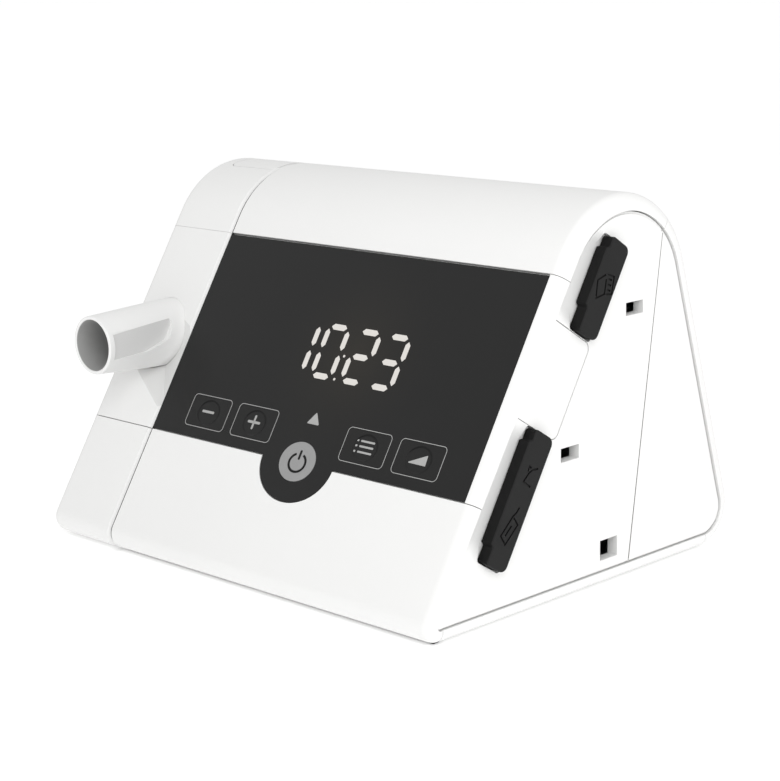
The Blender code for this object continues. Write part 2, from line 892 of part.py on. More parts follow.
def make_feet_and_screws(rubber, steel):
    for i, (x, y) in enumerate(foot_places()):
        upright(f"foot_{i + 1}", x, y, ((foot_radius, 0), (foot_radius, foot_thickness)), rubber)
    head_bottom = foot_height + screw_head_sink
    head_top = head_bottom + screw_head_height
    for i, (x, y) in enumerate(screw_places()):
        stages = ((screw_head_radius, head_bottom), (screw_head_radius, head_top), (screw_radius, head_top),
                  (screw_radius, head_top + screw_length))
        upright(f"base_screw_{i + 1}", x, y, stages, steel, small_circle_steps)


def make_boards(green, dark, grey, orange):
    left, right = display_board_left, display_board_right
    top, bottom = panel_top + gap, panel_bottom + display_board_overhang
    outline = rounded_box((left + right) / 2, (top + bottom) / 2, right - left, bottom - top, board_corner, 1)
    board = front_block("display_board", outline, board_front, board_back, green)
    for name, x, drop, far in boss_places():
        if far:
            ring = [(x + a, drop + b) for a, b in circle(boss_pin_radius + gap, small_circle_steps)]
            combine(board, front_block(name + "_board_hole", ring, 0, board_back + overrun / 4))
    block = rounded_box(panel_centre, window_drop, digit_block_width, digit_block_height, key_corner, 1)
    front_block("digit_display", block, frame_front + gap, board_front - gap, dark)
    mat_top = key_row - key_height / 2 - key_flange
    mat_bottom = power_key_drop + power_key_radius * oval_share + key_flange
    width = 2 * (outer_key_offset + key_width / 2 + key_flange)
    mat = rounded_box(panel_centre, (mat_top + mat_bottom) / 2, width, mat_bottom - mat_top, board_corner, 1)
    front_block("key_contact_mat", mat, mat_front, mat_front + mat_thickness, grey)
    edge = panel_back - 2 * gap - rim_wall / 2
    low = front_length - main_board_foot
    outline = rounded_box(edge - main_board_width / 2, (low - main_board_rise) / 2, main_board_width,
                          low + main_board_rise, board_corner, 1)
    front_block("main_board", outline, main_board_depth, main_board_depth + board_thickness, green)
    make_ribbon(edge - main_board_width, orange)


# Flat cable that lies on the back of the display board and turns down to the main board
def make_ribbon(main_left_edge, material):
    near, far = board_back + gap, main_board_depth - gap
    start = main_left_edge - 2 * ribbon_bend
    bend = main_left_edge + ribbon_bend
    stop = main_left_edge + 4 * ribbon_bend
    outline = [(start, near), (main_left_edge, near), (bend, far - ribbon_thickness), (stop, far - ribbon_thickness),
               (stop, far), (bend - ribbon_thickness, far), (main_left_edge - ribbon_thickness, near + ribbon_thickness),
               (start, near + ribbon_thickness)]
    middle = (panel_top + boss_top_drop + key_row - boss_key_clearance) / 2
    loops = []
    for drop in (middle - ribbon_width / 2, middle + ribbon_width / 2):
        loops.append([on_front(x, drop, depth) for x, depth in outline])
    return loft("ribbon_cable", loops, material)


def make_sockets(metal, dark):
    near = panel_back - gap
    drop, depth = card_drop(), socket_depth(card_socket_thickness)
    outline = rounded_box(drop, depth, card_socket_width, card_socket_thickness, gap, 1)
    card_end = near - card_inset - card_length
    well_end = card_end - card_travel - gap
    socket = side_block("card_socket", outline, well_end - card_socket_end, near, metal)
    slot = rounded_box(drop, depth, card_width + 2 * gap, card_thickness + 2 * gap, gap, 1)
    combine(socket, side_block("card_well", slot, well_end, near + overrun))
    card = rounded_box(drop, depth, card_width, card_thickness, gap, 1)
    thing = side_block("memory_card", card, card_end, near - card_inset, dark)
    pivot(thing, on_front(near - card_inset, drop, depth))
    drop, depth = port_flap_drop + data_socket_drop, socket_depth(data_socket_height)
    outline = rounded_box(drop, depth, data_socket_width, data_socket_height, gap, 1)
    socket = side_block("data_socket", outline, near - data_socket_length, near, metal)
    rows = []
    inner = (data_socket_width - 2 * data_socket_wall, data_socket_height - 2 * data_socket_wall)
    for x, (width, height) in ((near + overrun, inner), (near - data_socket_length + data_socket_wall, inner)):
        rows.append([on_front(x, a, b) for a, b in rounded_box(drop, depth, width, height, gap, 1)])
    tongue = (inner[0] - 2 * data_socket_wall, data_socket_wall)
    for x in (near - data_socket_length + data_socket_wall, near + overrun):
        rows.append([on_front(x, a, b) for a, b in rounded_box(drop, depth, *tongue, gap, 1)])
    combine(socket, tube_wall("data_well", rows))
    drop, depth = port_flap_drop + module_connector_drop, socket_depth(module_connector_height)
    outline = rounded_box(drop, depth, module_connector_width, module_connector_height, gap, 1)
    connector = side_block("module_connector", outline, near - module_connector_length, near, dark)
    well = rounded_box(drop, depth, module_connector_width - 2 * data_socket_wall,
                       module_connector_height - 2 * data_socket_wall, gap, 1)
    combine(connector, side_block("connector_well", well, near - connector_well, near + overrun))


# Outlet module on the left
def make_outlet_shells(material):
    stations = slice_stations()
    top_run = chain(back_foot_run(), back_run(), ridge_run(back_slope, -front_slope),
                    front_run(0, panel_top - gap / 2))
    top = strip("outlet_top_cover", top_run, stations, material)
    mid = strip("outlet_mid_cover", front_run(panel_top + gap / 2, panel_bottom - gap / 2), stations, material)
    low_run = chain(front_run(panel_bottom + gap / 2, front_length), front_foot_run(),
                    bottom_run(front_foot_y, back_foot_y - gap))
    low = strip("outlet_lower_cover", low_run, stations, material)
    outline = whole_outline(left_round + rim_lip + gap)
    profile_block("outlet_side_shell", outline, 0, wall, material)
    shelf_reach = math.sqrt((ridge_radius - wall / 2) ** 2 - (shelf_height - ridge_z) ** 2)
    shelf = box("button_shelf", (left_round + wall, -shelf_reach, shelf_height - shelf_thickness),
                (slice_right - wall, shelf_reach, shelf_height))
    combine(top, shelf, "UNION")
    x, y = button_centre()
    stem = stem_radius + stem_clearance
    stages = ((stem, shelf_height - overrun / 2), (stem, shelf_height + overrun / 4))
    combine(top, upright("stem_hole", x, y, stages, steps=small_circle_steps))
    combine(top, flat_block("button_hole", button_outline(gap), shelf_height + gap, overall_height + overrun))
    bore = circle(nozzle_root_radius + gap)
    loops = [[Vector((nozzle_x + a, y_at, nozzle_height + b)) for a, b in bore]
             for y_at in (front_extreme, -ridge_radius + overrun)]
    combine(mid, make_dent("dent_backing", slice_right - gap, dent_wall), "UNION")
    hole, dent = loft("nozzle_hole", loops), make_dent("nozzle_dent", slice_width + overrun / 4, 0)
    for cover in (mid, low):
        combine(cover, hole)
        combine(cover, dent)


# Finger dent beside the nozzle: a three-sided hollow whose deepest point lies under the nozzle
def make_dent(name, seam, grow):
    reach = nozzle_root_radius
    places = ((seam, dent_seam_shares[0] * reach - grow), (seam, dent_seam_shares[1] * reach + grow),
              (nozzle_x - dent_side_shares[0] * reach - grow, dent_side_shares[1] * reach + grow),
              (nozzle_x + dent_side_shares[2] * reach - grow, dent_side_shares[3] * reach - grow))
    depth = wall / 2 if grow else -gap / 10
    shape = bmesh.new()
    base = [shape.verts.new(on_front(x, nozzle_drop + drop, depth)) for x, drop in places]
    top = [shape.verts.new(on_front(x, nozzle_drop + drop, -overrun)) for x, drop in places] if not grow else base
    x, drop = nozzle_x + dent_tip_shares[0] * reach, nozzle_drop + dent_tip_shares[1] * reach
    tip = shape.verts.new(on_front(x, drop, dent_depth + 2 * grow))
    shape.faces.new(top)
    for i in range(len(base)):
        j = (i + 1) % len(base)
        shape.faces.new((base[i], base[j], tip))
        if not grow:
            shape.faces.new((top[i], top[j], base[j], base[i]))
    return finish(name, shape, material=None)


def button_centre():
    return slice_right - button_frame - button_width / 2, button_offset


def button_outline(grow):
    x, y = button_centre()
    return rounded_box(x, y, button_width + 2 * grow, button_length + 2 * grow, button_corner + grow)


def make_release_button(material, steel):
    x, y = button_centre()
    reach = math.asin((button_length / 2 + abs(y) + button_thickness) / ridge_radius)
    stations = [(x + side * button_width, 0, 0, button_thickness, 0) for side in (-1, 1)]
    button = strip("release_button", ridge_run(reach, -reach), stations, material)
    edge = flat_block("button_edge", button_outline(0), shelf_height, overall_height + overrun)
    combine(button, edge, "INTERSECT")
    under = ridge_z + math.sqrt((ridge_radius - button_thickness) ** 2 - (abs(y) + spring_radius()) ** 2)
    top = ridge_z + math.sqrt((ridge_radius - button_thickness / 2) ** 2 - y ** 2)
    stages = ((stem_radius, top - stem_length), (stem_radius, top))
    combine(button, upright("button_stem", x, y, stages, steps=small_circle_steps), "UNION")
    pivot(button, (x, y, overall_height))
    make_spring(x, y, shelf_height + gap, under - 2 * gap, steel)


def spring_radius():
    return stem_radius + gap + spring_wire / 2


def make_spring(x, y, bottom, top, material):
    curve = bpy.data.curves.new("release_spring", "CURVE")
    curve.dimensions = "3D"
    curve.bevel_depth = spring_wire / 2
    curve.bevel_resolution = wire_sides
    curve.use_fill_caps = True
    count = spring_turns * turn_points
    line = curve.splines.new("POLY")
    line.points.add(count)
    rise = top - bottom - spring_wire
    for i in range(count + 1):
        angle = math.tau * i / turn_points
        height = bottom + spring_wire / 2 + rise * i / count
        line.points[i].co = (x + spring_radius() * math.cos(angle), y + spring_radius() * math.sin(angle), height, 1)
    thing = place("release_spring", curve, material)
    return thing


def turned_on_y(name, stages, x, z, material=None):
    rows = [[Vector((x + a, y, z + b)) for a, b in circle(radius)] for radius, y in stages]
    return tube_wall(name, rows, material)


def make_nozzle(material):
    face_y = on_front(nozzle_x, nozzle_drop, 0).y
    tip = face_y - nozzle_reach
    tail = face_y + nozzle_tail
    stages = ((nozzle_tip_radius, tip), (nozzle_root_radius, tip + nozzle_taper_length), (nozzle_root_radius, tail),
              (nozzle_bore_radius, tail), (nozzle_bore_radius, tip))
    nozzle = turned_on_y("outlet_nozzle", stages, nozzle_x, nozzle_height, material)
    start, stop = tip + nozzle_flat_margin, tip + nozzle_flat_margin + nozzle_flat_length - nozzle_flat_half_height
    outline = [(start, -nozzle_flat_half_height), (stop, -nozzle_flat_half_height)]
    for i in range(1, small_circle_steps):
        angle = math.pi * i / small_circle_steps - math.pi / 2
        outline.append((stop + nozzle_flat_half_height * math.cos(angle), nozzle_flat_half_height * math.sin(angle)))
    outline += [(stop, nozzle_flat_half_height), (start, nozzle_flat_half_height)]
    loops = [[Vector((x, y, nozzle_height + z)) for y, z in outline]
             for x in (nozzle_x + nozzle_flat_offset, nozzle_x + nozzle_flat_offset + overrun)]
    combine(nozzle, loft("nozzle_flat", loops))
    bend = slice_right - gap - seal_thickness - gap - nozzle_x
    start_y = tail + gap
    inner, outer = [], []
    for i in range(elbow_steps + 1):
        angle = math.pi / 2 * i / elbow_steps
        centre = Vector((nozzle_x + bend * (1 - math.cos(angle)), start_y + bend * math.sin(angle), nozzle_height))
        side = Vector((math.cos(angle), -math.sin(angle), 0))
        outer.append([centre + side * a + Vector((0, 0, b)) for a, b in circle(elbow_radius)])
        inner.append([centre + side * a + Vector((0, 0, b)) for a, b in circle(nozzle_bore_radius)])
    tube_wall("outlet_elbow", outer + inner[::-1], material)
    return start_y + bend


def turned_on_x(name, stages, y, z, material=None):
    rows = [[Vector((x, y + a, z + b)) for a, b in circle(radius)] for radius, x in stages]
    return tube_wall(name, rows, material)


def make_air_path(port_y, plastic, rubber):
    seal_left = slice_right - gap - seal_thickness
    turned_on_x("outlet_seal", ((seal_radius, seal_left), (seal_radius, seal_left + seal_thickness),
                (nozzle_bore_radius, seal_left + seal_thickness), (nozzle_bore_radius, seal_left)),
                port_y, nozzle_height, rubber)
    plate_right = main_left + wall
    plate = profile_block("module_plate", whole_outline(frame_back + gap), main_left, plate_right, plastic)
    ring = circle(nozzle_bore_radius)
    loops = [[Vector((x, port_y + a, nozzle_height + b)) for a, b in ring]
             for x in (main_left - overrun / 4, plate_right + overrun / 4)]
    combine(plate, loft("outlet_port", loops))
    spigot_left = volute_x - spigot_length
    turned_on_x("outlet_duct", ((duct_radius, plate_right + gap), (duct_radius, spigot_left - gap),
                (duct_bore, spigot_left - gap), (duct_bore, plate_right + gap)), port_y, nozzle_height, rubber)


def make_blower(port_y, plastic, dark, steel, rubber):
    x, y = volute_x, port_y + spigot_offset
    top = volute_bottom + volute_height
    inner = volute_radius - volute_wall
    cup = ((volute_radius, volute_bottom), (volute_radius, top), (inner, top), (inner, volute_bottom + volute_wall),
           (inlet_radius, volute_bottom + volute_wall), (inlet_radius, volute_bottom))
    rows = [[Vector((x + a, y + b, z)) for a, b in circle(radius)] for radius, z in cup]
    lower = tube_wall("blower_lower_housing", rows, plastic)
    loops = {}
    for name, radius, right in (("spigot", spigot_radius, x - inner / 2), ("spigot_bore", spigot_bore, x)):
        left = x - spigot_length - (overrun if radius == spigot_bore else 0)
        loops[name] = [[Vector((at, port_y + a, nozzle_height + b)) for a, b in circle(radius)] for at in (left, right)]
    combine(lower, loft("spigot", loops["spigot"]), "UNION")
    chamber = ((inner, volute_bottom + volute_wall), (inner, top + overrun))
    combine(lower, upright("volute_chamber", x, y, chamber))
    combine(lower, loft("spigot_bore", loops["spigot_bore"]))
    ring((x, y), "blower_upper_housing", volute_radius, shaft_hole_radius, top + gap, top + gap + volute_wall, plastic)
    motor_bottom = top + volute_wall + 2 * gap
    ring((x, y), "blower_motor", motor_radius, motor_bore, motor_bottom, motor_bottom + motor_height, steel)
    bearing_inner = shaft_radius + gap
    for name, bottom in (("motor_bearing_lower", motor_bottom),
                         ("motor_bearing_upper", motor_bottom + motor_height - bearing_height)):
        ring((x, y), name, motor_bore - gap, bearing_inner, bottom, bottom + bearing_height, steel)
    for i in range(mount_count):
        angle = math.tau * i / mount_count
        place_x, place_y = x + mount_ring * math.cos(angle), y + mount_ring * math.sin(angle)
        bottom = lid_top + gap
        upright(f"blower_mount_{i + 1}", place_x, place_y,
                ((mount_radius, bottom), (mount_radius, bottom + mount_height)), rubber, small_circle_steps)
    make_rotor(x, y, motor_bottom + motor_height + shaft_top, dark, steel)
    return x, y


def ring(centre, name, outer, inner, bottom, top, material):
    stages = ((outer, bottom), (outer, top), (inner, top), (inner, bottom))
    rows = [[Vector((centre[0] + a, centre[1] + b, z)) for a, b in circle(radius)] for radius, z in stages]
    return tube_wall(name, rows, material)


# Impeller: backward-swept blades round a hub, on a disc
def make_rotor(x, y, shaft_end, dark, steel):
    bottom = volute_bottom + volute_wall + impeller_floor_gap
    outline = []
    for i in range(blade_count):
        base = math.tau * i / blade_count
        half = blade_thickness / 2 / hub_radius
        for side, spots in ((1, (0, 0.5, 1)), (-1, (1, 0.5, 0))):
            for spot in spots:
                radius = hub_radius + (impeller_radius - hub_radius) * spot
                width = side * half * hub_radius / radius
                angle = base - blade_sweep * spot - width
                outline.append((x + radius * math.cos(angle), y + radius * math.sin(angle)))
    blades = flat_block("impeller", outline, bottom, bottom + impeller_height, dark)
    disc = ((impeller_radius, bottom + impeller_height - impeller_disc), (impeller_radius, bottom + impeller_height))
    combine(blades, upright("impeller_disc", x, y, disc), "UNION")
    bore = ((shaft_radius + gap, bottom - overrun), (shaft_radius + gap, bottom + impeller_height + overrun))
    combine(blades, upright("impeller_bore", x, y, bore, steps=small_circle_steps))
    pivot(blades, (x, y, bottom))
    shaft = upright("rotor_shaft", x, y, ((shaft_radius, bottom + gap), (shaft_radius, shaft_end)), steel,
                    small_circle_steps)
    pivot(shaft, (x, y, bottom))


def make_silencer(blower, plastic, foam):
    left, back = tray_left_x, tray_back_y
    right, front = left + tray_width, back - tray_depth
    low = (left, front, tray_bottom)
    tray = box("silencer_tray", low, (right, back, tray_top), plastic)
    floor = tray_bottom + tray_wall
    combine(tray, box("tray_well", (left + tray_wall, front + tray_wall, floor),
                      (right - tray_wall, back - tray_wall, tray_top + overrun)))
    for i, (x, y) in enumerate(screw_places()):
        stages = ((screw_boss_radius, tray_bottom + gap), (screw_boss_radius, floor + screw_boss_height))
        combine(tray, upright(f"screw_boss_{i}", x, y, stages, steps=small_circle_steps), "UNION")
    for i, (x, y) in enumerate(screw_places()):
        hole = screw_radius + gap
        stages = ((hole, 0), (hole, foot_height + screw_head_sink + screw_head_height + screw_length + gap))
        combine(tray, upright(f"tray_screw_hole_{i}", x, y, stages, steps=small_circle_steps))
    middle_z = (tray_bottom + tray_top) / 2
    combine(tray, box("tray_port", (filter_x - tray_port_width / 2, back - overrun / 2, middle_z - tray_port_height / 2),
                      (filter_x + tray_port_width / 2, back + overrun, middle_z + tray_port_height / 2)))
    inside = tray_wall + gap
    pad = box("silencer_foam", (left + inside, front + inside, floor + screw_boss_height + gap),
              (right - inside, back - inside, tray_top - gap), foam)
    lid = box("silencer_lid", (left, front, tray_top + gap), (right, back, lid_top), plastic)
    for thing in (pad, lid):
        bore = ((inlet_radius, middle_z), (inlet_radius, lid_top + overrun))
        combine(thing, upright(thing.name + "_bore", blower[0], blower[1], bore))


def main():
    for thing in list(bpy.data.objects):
        bpy.data.objects.remove(thing)
    machine = bpy.data.objects.new("machine", None)
    bpy.context.scene.collection.objects.link(machine)
    width = housing_width + flap_stand
    machine.location = (-width / 2, -(front_extreme + back_extreme) / 2, 0)
    shell = make_material("white_shell", "F1F1EF", 0.28)
    film = make_material("dark_film", "363636", 0.32)
    power = make_material("grey_key", "A6A6A6", 0.45)
    rubber = make_material("black_rubber", "2E2E2E", 0.7)
    seal = make_material("grey_silicone", "8E9296", 0.6)
    green = make_material("circuit_board", "1F5A3A", 0.45)
    dark = make_material("dark_moulding", "232323", 0.5)
    steel = make_material("steel", "B9BCC0", 0.3, 1.0)
    orange = make_material("ribbon_cable", "B8793A", 0.5)
    foam = make_material("foam", "4A4D52", 0.95)
    paper = make_material("filter_fleece", "E8E8E2", 0.9)
    inner = make_material("grey_moulding", "9DA0A3", 0.55)
    make_main_shells(shell)
    make_film(film)
    make_keys(film, power)
    make_flap("card_flap", -card_flap_rise, card_flap_length, card_flap_depth, rubber)
    make_flap("port_flap", port_flap_drop, port_flap_length, port_flap_depth, rubber)
    make_boards(green, dark, seal, orange)
    make_sockets(steel, dark)
    make_filters(shell, foam, paper)
    make_power_inlet(dark)
    make_feet_and_screws(rubber, steel)
    make_outlet_shells(shell)
    make_release_button(shell, steel)
    port_y = make_nozzle(shell)
    make_air_path(port_y, inner, seal)
    blower = make_blower(port_y, inner, dark, steel, rubber)
    make_silencer(blower, inner, foam)


main()
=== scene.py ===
# Looks of a bedside breathing machine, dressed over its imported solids. Lengths are in metres.
import bpy
import bmesh
import math
from mathutils import Matrix, Vector


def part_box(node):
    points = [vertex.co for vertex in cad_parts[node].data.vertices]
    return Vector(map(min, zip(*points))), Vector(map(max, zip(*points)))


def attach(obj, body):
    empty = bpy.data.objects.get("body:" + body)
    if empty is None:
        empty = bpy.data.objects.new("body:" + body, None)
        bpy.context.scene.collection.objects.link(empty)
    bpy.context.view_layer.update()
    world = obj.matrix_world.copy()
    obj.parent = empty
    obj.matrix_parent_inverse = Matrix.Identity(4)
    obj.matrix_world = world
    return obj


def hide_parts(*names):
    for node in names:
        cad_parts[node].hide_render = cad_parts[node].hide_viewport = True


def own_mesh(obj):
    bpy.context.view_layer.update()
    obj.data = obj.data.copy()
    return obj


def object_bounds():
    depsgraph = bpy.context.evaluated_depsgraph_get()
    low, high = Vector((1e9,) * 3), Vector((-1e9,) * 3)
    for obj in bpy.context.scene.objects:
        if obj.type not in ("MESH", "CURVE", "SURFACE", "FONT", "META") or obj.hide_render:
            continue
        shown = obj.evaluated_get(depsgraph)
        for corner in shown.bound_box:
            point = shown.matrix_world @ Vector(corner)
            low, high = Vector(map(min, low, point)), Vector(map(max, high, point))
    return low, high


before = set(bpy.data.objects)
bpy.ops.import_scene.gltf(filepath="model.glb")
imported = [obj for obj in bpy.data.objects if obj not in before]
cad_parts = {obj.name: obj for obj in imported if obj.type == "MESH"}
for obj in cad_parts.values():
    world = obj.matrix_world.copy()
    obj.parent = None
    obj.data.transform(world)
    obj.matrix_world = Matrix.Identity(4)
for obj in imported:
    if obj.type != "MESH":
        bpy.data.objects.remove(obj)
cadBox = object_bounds()
print("frame loaded")

# Outline of the housing: x from its left end, y from the centre of the ridge, z from the table
housing = {
    "height": 0.135, "width": 0.1974, "sliceWidth": 0.0371, "ridgeRadius": 0.0364,
    "frontSlope": math.radians(58.15), "backSlope": math.radians(72.7),
    "frontFoot": 0.006, "backFoot": 0.0149, "footGap": 0.001, "wall": 0.0024, "gap": 0.0003,
    "rimWidth": 0.00435, "rimInset": 0.0054, "rimLip": 0.0006, "frontRimShare": 0.56,
    "bottomRimShare": 0.77, "panelThickness": 0.0032, "leftRound": 0.004, "overrun": 0.01,
    "topSeam": 0.0072, "lowerCover": 0.0390, "rearSeam": math.radians(43), "rearSeamFoot": 0.0023,
    "sideSeam": 0.0005, "seamRound": 0.0003, "seamShift": 0.0008, "seamGap": 0.0007,
    "chamferWidth": 0.0016, "chamferDepth": 0.0011, "grooveWidth": 0.0007, "grooveDepth": 0.0010,
    "grooveRound": 0.00025, "grooveFull": 1.5,
    "ridgeSteps": 88, "footSteps": 20, "rimSteps": 14, "seamSteps": 4, "grooveSteps": 4,
}
gap, wall, overrun = housing["gap"], housing["wall"], housing["overrun"]
ridgeRadius, rightEnd = housing["ridgeRadius"], housing["width"]
frontSine, frontCosine = math.sin(housing["frontSlope"]), math.cos(housing["frontSlope"])
backSine, backCosine = math.sin(housing["backSlope"]), math.cos(housing["backSlope"])
ridgeZ = housing["height"] - ridgeRadius


# Length of a slope from the ridge's round to the round of its foot
def slopeLength(foot, sine, cosine):
    return (ridgeZ + (ridgeRadius - foot) * cosine - housing["footGap"] - foot) / sine


frontLength = slopeLength(housing["frontFoot"], frontSine, frontCosine)
backLength = slopeLength(housing["backFoot"], backSine, backCosine)
rimStart = rightEnd - housing["rimWidth"]
rimWall = housing["rimInset"] + housing["rimLip"]
panelBack = rightEnd - housing["panelThickness"]
mainLeft = housing["sliceWidth"] + gap / 2
shellLeft = mainLeft - housing["seamShift"]
sliceRight = shellLeft - housing["seamGap"]
panelTop = housing["topSeam"]
panelBottom = frontLength - housing["lowerCover"]
filmRight = rimStart - gap
panelCentre = (mainLeft + gap + filmRight) / 2
frontFootY = -ridgeRadius * frontSine - frontLength * frontCosine + housing["frontFoot"] * frontSine
backFootY = ridgeRadius * backSine + backLength * backCosine - housing["backFoot"] * backSine
baseTop = housing["footGap"] + wall

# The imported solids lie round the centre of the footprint: this moves the outline onto them
shift = Vector((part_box("right_side_panel")[1].x - rightEnd,
                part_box("lower_front_cover")[0].y - (frontFootY - housing["frontFoot"]), 0))


def spot(x, y, z):
    return Vector((x, y, z)) + shift


# A point on the sloping front: x, distance down from the ridge's round, depth below the face
def onFront(x, down, depth):
    return spot(x, -ridgeRadius * frontSine - down * frontCosine + depth * frontSine,
                ridgeZ + ridgeRadius * frontCosine - down * frontSine - depth * frontCosine)


def onBack(x, down, depth):
    return spot(x, ridgeRadius * backSine + down * backCosine - depth * backSine,
                ridgeZ + ridgeRadius * backCosine - down * backSine - depth * backCosine)


# The same place for an outline on the machine's side: distance down, depth, then x
def onSide(down, depth, x):
    return onFront(x, down, depth)


def onProfile(y, z, x):
    return spot(x, y, z)


def loose(x, y, z):
    return Vector((x, y, z))


# Evenly spaced values, both ends included
def spread(start, stop, steps):
    return [start + (stop - start) * i / steps for i in range(steps + 1)]


# Steps of a quarter round, as 1 - cosine and 1 - sine
def quarter(steps):
    return [(1 - math.cos(turn), 1 - math.sin(turn)) for turn in spread(0, math.pi / 2, steps)]


def circle(radius, steps=64):
    turns = [math.tau * i / steps for i in range(steps)]
    return [(radius * math.cos(turn), radius * math.sin(turn)) for turn in turns]


# Round each corner of a flat outline; corners are (u, v, radius)
def rounded(corners, steps=8):
    outline = []
    for i, (u, v, radius) in enumerate(corners):
        here = Vector((u, v))
        before = (Vector(corners[i - 1][:2]) - here).normalized()
        after = (Vector(corners[(i + 1) % len(corners)][:2]) - here).normalized()
        if radius == 0:
            outline.append((u, v))
            continue
        half = before.angle(after) / 2
        centre = here + (before + after).normalized() * radius / math.sin(half)
        start = here + before * radius / math.tan(half) - centre
        stop = here + after * radius / math.tan(half) - centre
        for k in range(steps + 1):
            outline.append(tuple(centre + start.slerp(stop, k / steps).normalized() * radius))
    return outline


def roundedBox(u, v, width, height, radius, steps=8):
    sides = ((-1, -1), (1, -1), (1, 1), (-1, 1))
    return rounded([(u + a * width / 2, v + b * height / 2, radius) for a, b in sides], steps)


def link(name, data):
    thing = bpy.data.objects.new(name, data)
    bpy.context.scene.collection.objects.link(thing)
    return thing


def closeShape(name, shape):
    bmesh.ops.remove_doubles(shape, verts=shape.verts, dist=1e-8)
    bmesh.ops.recalc_face_normals(shape, faces=shape.faces)
    mesh = bpy.data.meshes.new(name)
    shape.to_mesh(mesh)
    shape.free()
    return link(name, mesh)


# Add a closed solid through loops with the same number of points; a ring's last loop meets its first
def addLoft(shape, loops, ring=False):
    rows = [[shape.verts.new(point) for point in loop] for loop in loops]
    count = len(rows[0])
    for low, high in list(zip(rows, rows[1:])) + ([(rows[-1], rows[0])] if ring else []):
        for i in range(count):
            j = (i + 1) % count
            shape.faces.new((low[i], low[j], high[j], high[i]))
    if not ring:
        shape.faces.new(rows[0])
        shape.faces.new(rows[-1])


def loft(name, loops, ring=False):
    shape = bmesh.new()
    addLoft(shape, loops, ring)
    return closeShape(name, shape)


# A loft through flat outlines, each with its level; place turns a point and a level into a spot
def stack(name, place, rows, ring=False):
    return loft(name, [[place(a, b, level) for a, b in outline] for outline, level in rows], ring)


def block(name, place, outline, near, far):
    return stack(name, place, [(outline, near), (outline, far)])


def boxBlock(name, low, high):
    corners = ((low[0], low[1]), (high[0], low[1]), (high[0], high[1]), (low[0], high[1]))
    return block(name, spot, corners, low[2], high[2])


# A loft through circles about the point (u, v), each given as its radius and its level
def turned(name, place, stages, steps=64, u=0.0, v=0.0):
    rows = [([(u + a, v + b) for a, b in circle(radius, steps)], level) for radius, level in stages]
    return stack(name, place, rows)


# Runs along the housing's outline: (y, z, inward y, inward z, share of the rim)
def roundRun(centreY, centreZ, radius, start, stop, shares, steps):
    points = []
    for angle, share in zip(spread(start, stop, steps), spread(*shares, steps)):
        sine, cosine = math.sin(angle), math.cos(angle)
        points.append((centreY + radius * sine, centreZ + radius * cosine, -sine, -cosine, share))
    return points


def ridgeRun(start, stop):
    whole = housing["frontSlope"] + housing["backSlope"]
    steps = max(6, round(housing["ridgeSteps"] * abs(stop - start) / whole))
    return roundRun(0, ridgeZ, ridgeRadius, start, stop, (1, 1), steps)


def frontShare(down):
    return 1 + (housing["frontRimShare"] - 1) * down / frontLength


def frontRun(start, stop, steps=1):
    points = []
    for down in spread(start, stop, steps):
        at = onFront(0, down, 0) - shift
        points.append((at.y, at.z, frontSine, -frontCosine, frontShare(down)))
    return points


def frontFootRun():
    radius = housing["frontFoot"]
    return roundRun(frontFootY, housing["footGap"] + radius, radius, -housing["frontSlope"], -math.pi,
                    (housing["frontRimShare"], housing["bottomRimShare"]), housing["footSteps"])


def bottomRun(start, stop):
    return [(y, housing["footGap"], 0, 1, housing["bottomRimShare"]) for y in (start, stop)]


def backFootRun():
    radius = housing["backFoot"]
    points = roundRun(backFootY, housing["footGap"] + radius, radius, math.pi, housing["backSlope"],
                      (housing["bottomRimShare"], 1), housing["footSteps"])
    return [(min(point[0], cadBox[1].y - shift.y), *point[1:]) for point in points]


def backRun():
    ends = [onBack(0, down, 0) - shift for down in (backLength, 0)]
    return [(at.y, at.z, -backSine, -backCosine, 1) for at in ends]


def chain(*runs):
    points = []
    for run in runs:
        for point in run:
            if not points or math.dist(points[-1][:2], point[:2]) > gap / 3:
                points.append(point)
    return points


# A shell along a run. Each station is (x, outer inset, outer rim, inner inset, inner rim)
def shell(name, run, stations):
    shape = bmesh.new()
    grid = []
    for x, outer, outerRim, inner, innerRim in stations:
        row = []
        for y, z, ny, nz, share in run:
            for inset in (outer + outerRim * share, max(inner, innerRim * share)):
                row.append(shape.verts.new(spot(x, y + ny * inset, z + nz * inset)))
        grid.append(row)
    last = len(run) - 1
    for row, other in zip(grid, grid[1:]):
        for i in range(last):
            for side in (0, 1):
                a, b = 2 * i + side, 2 * i + 2 + side
                shape.faces.new((row[a], row[b], other[b], other[a]))
        for i in (0, last):
            shape.faces.new((row[2 * i], row[2 * i + 1], other[2 * i + 1], other[2 * i]))
    for row in (grid[0], grid[-1]):
        for i in range(last):
            shape.faces.new((row[2 * i], row[2 * i + 1], row[2 * i + 3], row[2 * i + 2]))
    return closeShape(name, shape)


# Stations of a main shell: rounded at the seam on its left, plain, then the rim's quarter round
def mainStations(inner, skin=0.0):
    taperStart, taperEnd = rimStart - housing["rimWidth"], panelBack - gap
    radius = housing["seamRound"]
    stations = [(shellLeft + radius * a, skin + radius * b, 0, inner, 0)
                for a, b in quarter(housing["seamSteps"])]
    stations.append((taperStart, skin, 0, inner, 0))
    if skin:
        stations.append((rimStart, skin, 0, inner,
                         rimWall * housing["rimWidth"] / (taperEnd - taperStart)))
    for a, b in quarter(housing["rimSteps"]):
        x = rimStart + housing["rimWidth"] * (1 - b)
        taper = min(1, (x - taperStart) / (taperEnd - taperStart))
        stations.append((x, 0, housing["rimInset"] * a, inner, rimWall * taper))
    return stations


